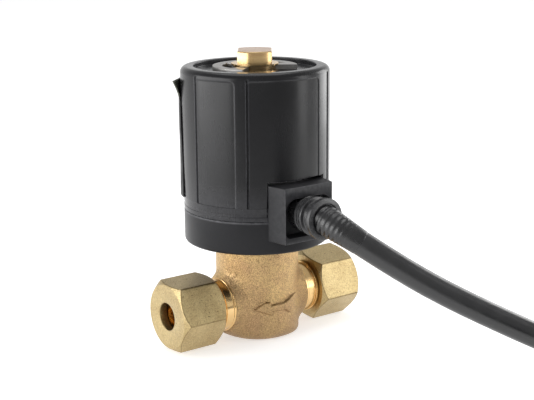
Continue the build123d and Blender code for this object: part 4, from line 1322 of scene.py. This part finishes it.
@dataclass
class Stem:
    """Armature tube: skirt, shoulder, stem, clip groove, and a top with two flats. Sizes in mm."""

    radius: float = 5.7
    groove_radius: float = 5.0
    groove: tuple[float, float] = (65.85, 67.15)
    ledge: float = 67.6
    top: float = 70.75
    flats: float = 8.2
    flats_azimuth: float = -36.0

    def crown(self, skin: Skin) -> None:
        """Top of the stem: at each angle the radius is the least of the stem's and the flats' own."""
        limit = np.arccos(self.flats / 2 / self.radius)
        flat = np.linspace(-limit, limit, 41)
        arc = np.linspace(limit, pi - limit, 41)[1:-1]
        turns = np.concatenate([flat, arc, flat + pi, arc + pi, [2 * pi - limit]])
        reach = np.minimum(self.radius, self.flats / 2 / np.maximum(np.abs(np.cos(turns)), 1e-6))
        # Painted highlight along the edges of the flats and the crown.
        edge = np.exp(-(((np.abs(np.cos(turns)) * self.radius - self.flats / 2) / 0.1) ** 2))
        rows = [
            (np.full_like(reach, self.radius), self.ledge, 0.4), (reach, self.ledge, 0.0),
            (reach, self.ledge + 0.06, 0.0), (reach, self.top - 0.35, 0.0),
            (reach - 0.03, self.top - 0.24, 0.5), (reach - 0.12, self.top - 0.08, 0.9),
            (reach - 0.26, self.top, 0.5),
        ]
        turns = turns + radians(self.flats_azimuth)
        grid = np.array([polar(radius, turns, level) for radius, level, _ in rows])
        shading_and_peel = [np.maximum(edge * (level > self.ledge), painted_edge) for _, level, painted_edge in rows]
        skin.add(grid, 0, np.array(shading_and_peel))
        last, middle = grid[-1], np.array([0.0, 0.0, self.top])
        skin.add(np.stack([last, 0.5 * (last + middle), 0.0 * last + middle]), 1)

    def build(self, shop: Shop) -> bpy.types.Object:
        """Makes the tube: one profile up to the ledge, and the crown on it."""
        low, high = self.groove
        profile, shading_and_peel = rounded(
            [
                (0.0, 62.4, 0.0), (4.45, 62.4, 0.3), (4.45, 16.0, 0.2), (7.5, 16.0, 0.3),
                (7.5, 21.6, 0.0), (8.6, 21.6, 0.1), (8.6, 24.2, 0.15), (self.radius, 24.2, 0.1),
                (self.radius, low, 0.1), (self.groove_radius, low, 0.05),
                (self.groove_radius, high, 0.05), (self.radius, high, 0.12),
                (self.radius, self.ledge, 0.0),
            ]
        )
        skin = Skin()
        # Painted highlights on the tube's rounded edges.
        skin.add(lathe(profile, around(120), Axis.STEM), 0, shading_and_peel[:, None])
        self.crown(skin)
        piece = skin.build("armature_stem", [shop["stem_brass"], shop["stem_end"]], radians(30))
        return fit(piece, "valve", "turned_brass", "armature_tube")


@dataclass
class RetainingClip:
    """Stamped steel E-clip in the stem's groove, open at the front. Sizes in mm."""

    outer: float = 10.2
    inner: float = 8.0
    grip: float = 5.03
    low: float = 65.9
    high: float = 67.1
    opening: float = -90.0
    mouth: float = 52.0
    lug: float = 78.0
    back: float = 22.0
    edge: float = 0.16

    def build(self, shop: Shop) -> bpy.types.Object:
        """A closed section carried from lug to lug. Its inner radius drops to grip at each lobe."""
        lug_end, back_start = self.lug, 180.0 - self.back
        fine = np.linspace(-2.4, 2.4, 13)
        turns = np.concatenate(
            [
                np.linspace(self.mouth, lug_end - 3.0, 12), lug_end + fine,
                np.linspace(lug_end + 4.0, back_start - 4.0, 40), back_start + fine,
                np.linspace(back_start + 4.0, 180.0, 12),
            ]
        )
        turns = np.concatenate([turns, 360.0 - turns[-2::-1]])
        from_mouth = np.minimum(turns, 360.0 - turns)
        lug = smooth_step(-from_mouth, -lug_end - 2.0, -lug_end + 2.0)
        back = smooth_step(from_mouth, back_start - 2.0, back_start + 2.0)
        inner = self.inner + (self.grip - self.inner) * np.maximum(lug, back)
        swing = np.linspace(0.0, pi / 2, 4)
        across, level = [], []
        for right, top, start in ((1, 0, -pi / 2), (1, 1, 0.0), (0, 1, pi / 2), (0, 0, pi)):
            middle = -self.edge if right else self.edge
            across.append((right, middle + self.edge * np.cos(start + swing)))
            middle = self.high - self.edge if top else self.low + self.edge
            level.append(middle + self.edge * np.sin(start + swing))
        parts = [np.where(right, self.outer, inner[:, None]) + shift for right, shift in across]
        radius = np.concatenate([*parts, parts[0][:, :1]], 1)
        height = np.concatenate([*level, level[0][:1]])
        grid = polar(radius, np.radians(turns + self.opening)[:, None], height)
        grid = capped(grid, grid[0].mean(0), grid[-1].mean(0))
        skin = Skin()
        # Painted highlights along the clip's rounded edges.
        skin.add(grid, 0, np.array([0.3, 1.0, 1.0, 0.3] * 4 + [0.3]))
        return fit(skin.build("e_clip", [shop["clip_steel"]]), "valve", "clip_steel", "retaining_clip")


@dataclass
class BarePlate:
    """Bare plate on the coil's side, bowed off the shell, with one corner peeling. Sizes in mm."""

    low: float = 35.8
    high: float = 63.8
    start: float = 100.0
    end: float = 161.0
    lean: float = 6.0
    radius: float = 18.12
    bow: float = 0.3
    wave: float = 0.06
    peel: float = 1.8
    thickness: float = 0.3

    def build(self, shop: Shop) -> bpy.types.Object:
        """A sheet r(angle, height), whose front edge leans.

        The bow rises from both side edges, and the corner lifts with its nearness to the power 1.5.
        """
        across = np.linspace(0.0, 1.0, 61)[None]
        up = np.linspace(0.0, 1.0, 49)[:, None]
        angle = np.radians(self.start + (self.end - self.lean * up - self.start) * across)
        height = self.low + (self.high - self.low) * up
        corner = np.maximum(0.0, 1.0 - np.hypot((1.0 - across) * 3.2, (1.0 - up) * 5.5))
        bow = self.bow * np.sin(pi * np.clip(across, 0.0, 1.0)) ** 0.7
        wave = self.wave * np.sin(9.0 * up + 2.0 * across) * across
        radius = self.radius + bow + wave + self.peel * corner**1.5
        skin = Skin()
        skin.add(polar(radius, angle, height), 0, smooth_step(corner, 0.1, 0.45))
        piece = skin.build("bare_plate", [shop["plate_film"]])
        thicken(piece, self.thickness, 0.0)
        return fit(piece, "coil", "coil_plastic")


@dataclass
class Lead:
    """Round lead: down from its sleeve, a tied coil of two by two turns, and a bare end.

    Sizes are in mm and angles in degrees, and its length is in metres.
    """

    radius: float = 2.9
    route: tuple[tuple[float, float, float], ...] = (
        (4.0, -34.9, 29.7), (9.0, -39.8, 25.2), (17.8, -46.5, 18.5), (29.5, -56.2, 11.1),
        (43.4, -69.0, 3.1), (50.6, -88.0, 2.9), (49.9, -127.5, 2.9),
    )
    coil_centre: tuple[float, float] = (14.905, -126.88)
    coil_start: float = -1.02
    coil_step: float = 20.0
    coil_end: float = 1120.0
    lane_turns: tuple[float, ...] = (0.0, 300.0, 340.0, 940.0, 980.0, 1121.0)
    lane_radii: tuple[float, ...] = (35.0, 35.0, 29.2, 29.2, 35.0, 35.0)
    level_turns: tuple[float, ...] = (0.0, 30.0, 620.0, 660.0, 1121.0)
    levels: tuple[float, ...] = (2.9, 3.6, 3.6, 9.4, 9.4)
    tail_azimuths: tuple[float, ...] = (-42.0, -60.0, -78.0, -95.0, -111.0, -126.5)
    tail_radii: tuple[float, ...] = (35.0, 35.0, 34.7, 34.4, 34.1, 34.1)
    tail_rises: tuple[float, ...] = (0.0, 0.14, 0.36, 0.62, 0.86, 1.0)
    tie_azimuth: float = -22.0
    tie_radius: float = 32.1
    tie_level: float = 6.5
    tie_corner: float = 1.4
    tie_bands: tuple[tuple[float, float, float], ...] = (
        (5.8, -1.5, 0.0), (6.35, -1.5, 0.4), (6.5, -1.35, 1.0),
        (6.5, 1.35, 1.0), (6.35, 1.5, 0.4), (5.8, 1.5, 0.0),
    )
    tie_head: tuple[tuple[float, float, float], ...] = (
        (0.01, 6.4, 0.0), (2.0, 6.4, 0.0), (2.0, 7.05, 0.5),
        (1.88, 7.18, 1.0), (1.6, 7.2, 0.2), (0.01, 7.2, 0.0),
    )
    core_radius: float = 1.0
    core_aside: float = 1.3
    core_length: float = 15.3
    core_bow: float = 0.25
    core_droop: float = 0.08
    length: float = 0.79

    def round_centre(self, azimuth: Array, radius: Array, height: Array) -> Array:
        """Points about the coil's centre, from azimuths in degrees, radii and heights in mm."""
        angle = np.radians(azimuth)
        x = self.coil_centre[0] + radius * np.cos(angle)
        return np.stack([x, self.coil_centre[1] + radius * np.sin(angle), height], -1)

    def control_points(self) -> Array:
        """Control points of the whole lead: its route, the turns of its coil, and its tail.

        The coil's points stand at even steps of its turning, out by one over the cosine of half a
        step, because a spline passes inside its points. Radius and level go from lane to lane.
        """
        turned = np.arange(self.coil_step / 2, self.coil_end, self.coil_step)
        out = 1.0 / cos(radians(self.coil_step / 2))
        radius = np.interp(turned, self.lane_turns, self.lane_radii) * out
        level = np.interp(turned, self.level_turns, self.levels)
        coil = self.round_centre(self.coil_start - turned, radius, level)
        level = self.levels[-1] + 2.0 * self.radius * np.array(self.tail_rises)
        tail = self.round_centre(np.array(self.tail_azimuths), np.array(self.tail_radii), level)
        return np.concatenate([np.array(self.route), coil, tail])

    def sheath(self, shop: Shop) -> bpy.types.Object:
        """Sheath: one open spline through those control points, as thick as the lead."""
        points = self.control_points() * MM
        curve = bpy.data.curves.new("lead_sheath", "CURVE")
        curve.dimensions = "3D"
        spline = curve.splines.new("NURBS")
        spline.points.add(len(points) - 1)
        weights = np.ones((len(points), 1))
        spline.points.foreach_set("co", np.concatenate([points, weights], 1).ravel())
        spline.order_u = 3
        spline.use_endpoint_u = True
        curve.resolution_u = 8
        curve.bevel_depth = self.radius * MM
        curve.bevel_resolution = 8
        curve.use_fill_caps = True
        curve.materials.append(shop["cable_sheath"])
        log.info("lead_sheath: %d control points", len(points))
        piece = link("lead_sheath", curve)
        return fit(piece, "coil", "cable_sheath", "cable", "cable_coil", "cable_tail")

    def tie(self, shop: Shop) -> bpy.types.Object:
        """Strap round the four turns, as rounded squares set side by side, and its locking head."""
        angle = radians(self.tie_azimuth)
        outward = np.array([cos(angle), sin(angle), 0.0])
        along = np.array([-sin(angle), cos(angle), 0.0])
        centre = np.array([*self.coil_centre, self.tie_level]) + self.tie_radius * outward
        up = np.array([0.0, 0.0, 1.0])
        bands = (*self.tie_bands, self.tie_bands[0])
        widest = max(half for half, _, _ in bands)
        rows = []
        for half, shift, _ in bands:
            corner = self.tie_corner - widest + half
            square = rounded_outline(half, -half, half, corner, corner)
            rows.append(centre + square[:, :1] * outward + square[:, 1:] * up + shift * along)
        skin = Skin()
        skin.add(np.array(rows), 0, np.array([[shading_and_peel] for _, _, shading_and_peel in bands]))
        head = []
        for half, level, _ in self.tie_head:
            plan = rounded_outline(half, -0.75 * half, 0.75 * half, 0.2 * half, 0.2 * half)
            head.append(centre + plan[:, :1] * outward + plan[:, 1:] * along + level * up)
        skin.add(np.array(head), 0, np.array([[shading_and_peel] for _, _, shading_and_peel in self.tie_head]))
        return fit(skin.build("lead_tie", [shop["tie_nylon"]]), "coil", "tie_nylon", "cable_tie")

    def cores(self, shop: Shop) -> bpy.types.Object:
        """Two insulated cores that leave the cut sheath side by side and bow slightly apart."""
        points = self.control_points()
        end = points[-1]
        ahead = (end - points[-2]) / np.linalg.norm(end - points[-2])
        aside = np.cross([0.0, 0.0, 1.0], ahead)
        down = ahead - np.array([0.0, 0.0, self.core_droop])
        down = down / np.linalg.norm(down)
        over = np.cross(down, aside)
        share = np.linspace(0.0, 1.0, 33)[:, None]
        turns = around(28)[None, :, None]
        skin = Skin()
        for slot, hand in enumerate((-1.0, 1.0)):
            bow = self.core_aside + self.core_bow * np.sin(pi * share)
            line = end + (share * self.core_length) * down + hand * bow * aside
            ring = aside * np.cos(turns) + over * np.sin(turns)
            grid = line[:, None] + self.core_radius * ring
            skin.add(capped(grid, line[:1, None], line[-1:, None]), slot)
        piece = skin.build("lead_cores", [shop["core_insulation"], shop["brown_insulation"]])
        return fit(piece, "coil", "core_insulation", "cable_cores")

    def build(self, shop: Shop) -> None:
        sheath = self.sheath(shop)
        pieces = [self.tie(shop), self.cores(shop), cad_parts["core_ferrules"]]


@dataclass(frozen=True)
class InnerParts:
    """CAD nodes that keep their shape and take a finish here."""

    finishes: tuple[tuple[str, str], ...] = (
        ("tube_oring", "seal_rubber"), ("seat_seal", "seal_rubber"),
        ("fixed_core", "magnet_steel"), ("plunger", "magnet_steel"),
        ("plunger_spring", "spring_steel"), ("inlet_strainer", "gauze_steel"),
        ("inlet_olive", "turned_brass"), ("outlet_olive", "turned_brass"),
        ("bottom_pole_plate", "plate_steel"), ("top_pole_plate", "plate_steel"),
        ("yoke_sleeve", "plate_steel"), ("coil_bobbin", "bobbin_plastic"),
        ("coil_winding", "winding_copper"), ("lead_wires", "core_insulation"),
        ("core_ferrules", "tinned_copper"),
    )
    spring: str = "plunger_spring"
    lift: float = 2.0

    def press_spring(self) -> None:
        """Gives the spring its own copy of its mesh."""
        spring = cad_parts[self.spring]
        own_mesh(spring)

    def build(self, shop: Shop) -> None:
        """Gives each node its material, after giving the spring its own mesh."""
        self.press_spring()
        for node, finish in self.finishes:
            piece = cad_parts[node]
            if not piece.material_slots:
                piece.data.materials.append(shop[finish])
            for place in piece.material_slots:
                place.material = shop[finish]
            log.info("%s: %s", node, finish)


@dataclass(frozen=True)
class Lamp:
    """Soft box that faces the valve: its angles in degrees, distance and size in metres, and watts."""

    name: str
    azimuth: float
    elevation: float
    distance: float
    size: tuple[float, float]
    power: float

    def build(self, target: Vector) -> None:
        """Makes the lamp at its angles and distance from the target."""
        light = bpy.data.lights.new(self.name, "AREA")
        light.shape = "RECTANGLE"
        light.size, light.size_y = self.size
        light.energy = self.power
        turn, rise = radians(self.azimuth), radians(self.elevation)
        away = Vector((cos(turn) * cos(rise), sin(turn) * cos(rise), sin(rise)))
        lamp = link(self.name, light)
        lamp.location = target + away * self.distance
        lamp.rotation_euler = away.to_track_quat("Z", "Y").to_euler()
        lamp.visible_camera = False


@dataclass
class Studio:
    """Pale floor and surroundings, soft boxes, and the camera at the photograph's angle.

    Sizes are in metres, but the lens is in mm and the roll in degrees.
    """

    floor_half: float = 3.0
    floor_sink: float = 0.0001
    floor_tone: float = 0.82
    floor_lift: float = 0.55
    floor_dims: tuple[float, float] = (0.1, 0.22)
    room_tone: float = 0.5
    room_dims_up: tuple[float, float] = (0.05, 0.5)
    room_dims_front: tuple[float, float] = (0.2, 0.8)
    ambient: float = 0.5
    eye: tuple[float, float, float] = (-0.163446, -0.229837, 0.102429)
    right: tuple[float, float, float] = (0.8090, -0.5878, 0.0)
    up: tuple[float, float, float] = (0.1315, 0.1810, 0.9746)
    back: tuple[float, float, float] = (-0.5729, -0.7885, 0.2238)
    roll: float = -0.53
    lens: float = 79.35
    shift: tuple[float, float] = (-0.0016, -0.0304)
    target: tuple[float, float, float] = (0.0, 0.0, 0.04)
    lamps: tuple[Lamp, ...] = (
        Lamp("left_bank", 168.0, 11.0, 0.25, (0.30, 0.16), 0.5),
        Lamp("front_strip", -50.0, 12.0, 0.25, (0.07, 0.16), 0.1),
        Lamp("right_bank", 2.0, 11.0, 0.25, (0.12, 0.16), 0.2),
        Lamp("overhead", 60.0, 74.0, 0.9, (0.7, 0.7), 2.6),
    )

    @staticmethod
    def shown(pen: Pen, mirrored: bpy.types.NodeSocket, ambient: float) -> bpy.types.NodeSocket:
        """Strength of a pale surface: 1 to the camera, else as mirrored or ambient.

        Args:
            pen: pen for the tree.
            mirrored: strength that glossy rays see.
            ambient: strength that lights the rest.

        Returns:
            The strength.
        """
        path = pen.add("ShaderNodeLightPath")
        inputs = {"Factor": path.outputs["Is Glossy Ray"], 2: ambient, 3: mirrored}
        rest = pen.add("ShaderNodeMix", inputs, data_type="FLOAT").outputs[0]
        return pen.maths("MAXIMUM", path.outputs["Is Camera Ray"], rest)

    def frontward(self, pen: Pen, place: bpy.types.NodeSocket) -> bpy.types.NodeSocket:
        """How far a place or a direction lies towards the camera's side."""
        inputs = {0: place, 1: (self.back[0], self.back[1], 0.0)}
        return pen.add("ShaderNodeVectorMath", inputs, operation="DOT_PRODUCT").outputs["Value"]

    def floor(self) -> None:
        """Floor that takes the valve's shadow, shows white, and dims in front in reflections."""
        material = bpy.data.materials.new("pale_floor")
        material.use_nodes = True
        pen = Pen(material.node_tree)
        place = pen.add("ShaderNodeTexCoord").outputs["Object"]
        mirrored = pen.span(self.frontward(pen, place), *self.floor_dims, 1.0, 0.0)
        glow = pen.maths("MULTIPLY", self.shown(pen, mirrored, 0.0), self.floor_lift)
        tone = (self.floor_tone,) * 3 + (1.0,)
        inputs = {
            "Base Color": tone, "Roughness": 0.9, "Specular IOR Level": 0.0,
            "Emission Color": WHITE, "Emission Strength": glow,
        }
        shader = pen.add("ShaderNodeBsdfPrincipled", inputs)
        pen.add("ShaderNodeOutputMaterial", {"Surface": shader.outputs[0]})
        half = self.floor_half
        mesh = bpy.data.meshes.new("floor")
        corners = [(-half, -half, 0.0), (half, -half, 0.0), (half, half, 0.0), (-half, half, 0.0)]
        mesh.from_pydata(corners, [], [(0, 1, 2, 3)])
        mesh.materials.append(material)
        piece = link("floor", mesh)
        piece.location.z = -self.floor_sink

    def surroundings(self) -> None:
        """World that shows white, and in reflections is a pale backdrop under a dimmer room."""
        world = bpy.data.worlds.new("studio")
        world.use_nodes = True
        pen = Pen(world.node_tree)
        way = pen.add("ShaderNodeTexCoord").outputs["Generated"]
        height = pen.add("ShaderNodeSeparateXYZ", {0: way}).outputs["Z"]
        overhead = pen.span(height, *self.room_dims_up, 1.0, self.room_tone)
        behind = pen.span(self.frontward(pen, way), *self.room_dims_front, 1.0, self.room_tone)
        strength = self.shown(pen, pen.maths("MINIMUM", overhead, behind), self.ambient)
        background = pen.add("ShaderNodeBackground", {"Color": WHITE, "Strength": strength})
        pen.add("ShaderNodeOutputWorld", {"Surface": background.outputs[0]})
        bpy.context.scene.world = world

    def camera(self) -> None:
        """Camera from its eye and its three directions, rolled about the line of sight."""
        turn = radians(self.roll)
        right, up = Vector(self.right), Vector(self.up)
        across = right * cos(turn) + up * sin(turn)
        over = up * cos(turn) - right * sin(turn)
        data = bpy.data.cameras.new("photo_camera")
        data.sensor_width = 36.0
        data.lens = self.lens
        data.shift_x, data.shift_y = self.shift
        data.clip_start = 0.01
        piece = link("photo_camera", data)
        columns = (across, over, Vector(self.back))
        rows = [[column[k] for column in columns] + [self.eye[k]] for k in range(3)]
        piece.matrix_world = Matrix([*rows, [0.0, 0.0, 0.0, 1.0]])
        bpy.context.scene.camera = piece

    def build(self) -> None:
        """Makes the floor, the surroundings, the lamps and the camera."""
        self.floor()
        self.surroundings()
        for lamp in self.lamps:
            lamp.build(Vector(self.target))
        self.camera()
        bpy.context.scene.view_settings.view_transform = "Standard"


def main() -> None:
    """Builds the valve's pieces in order, then the studio."""
    logging.basicConfig(level=logging.INFO, format="%(message)s")
    shop = Shop()
    pieces = (
        ForgedBody(),
        PipeNut("outlet_nut", Axis.OUTLET, -2.2), PipeNut("inlet_nut", Axis.INLET, 12.84),
        Stem(), CoilBase(), CoilShell(), BarePlate(), Grommet(), RetainingClip(),
        Lead(), InnerParts(),
    )
    for piece in pieces:
        piece.build(shop)
        log.info("%s is built", type(piece).__name__)
    Studio().build()
    bpy.context.view_layer.update()


if __name__ == "__main__":
    main()
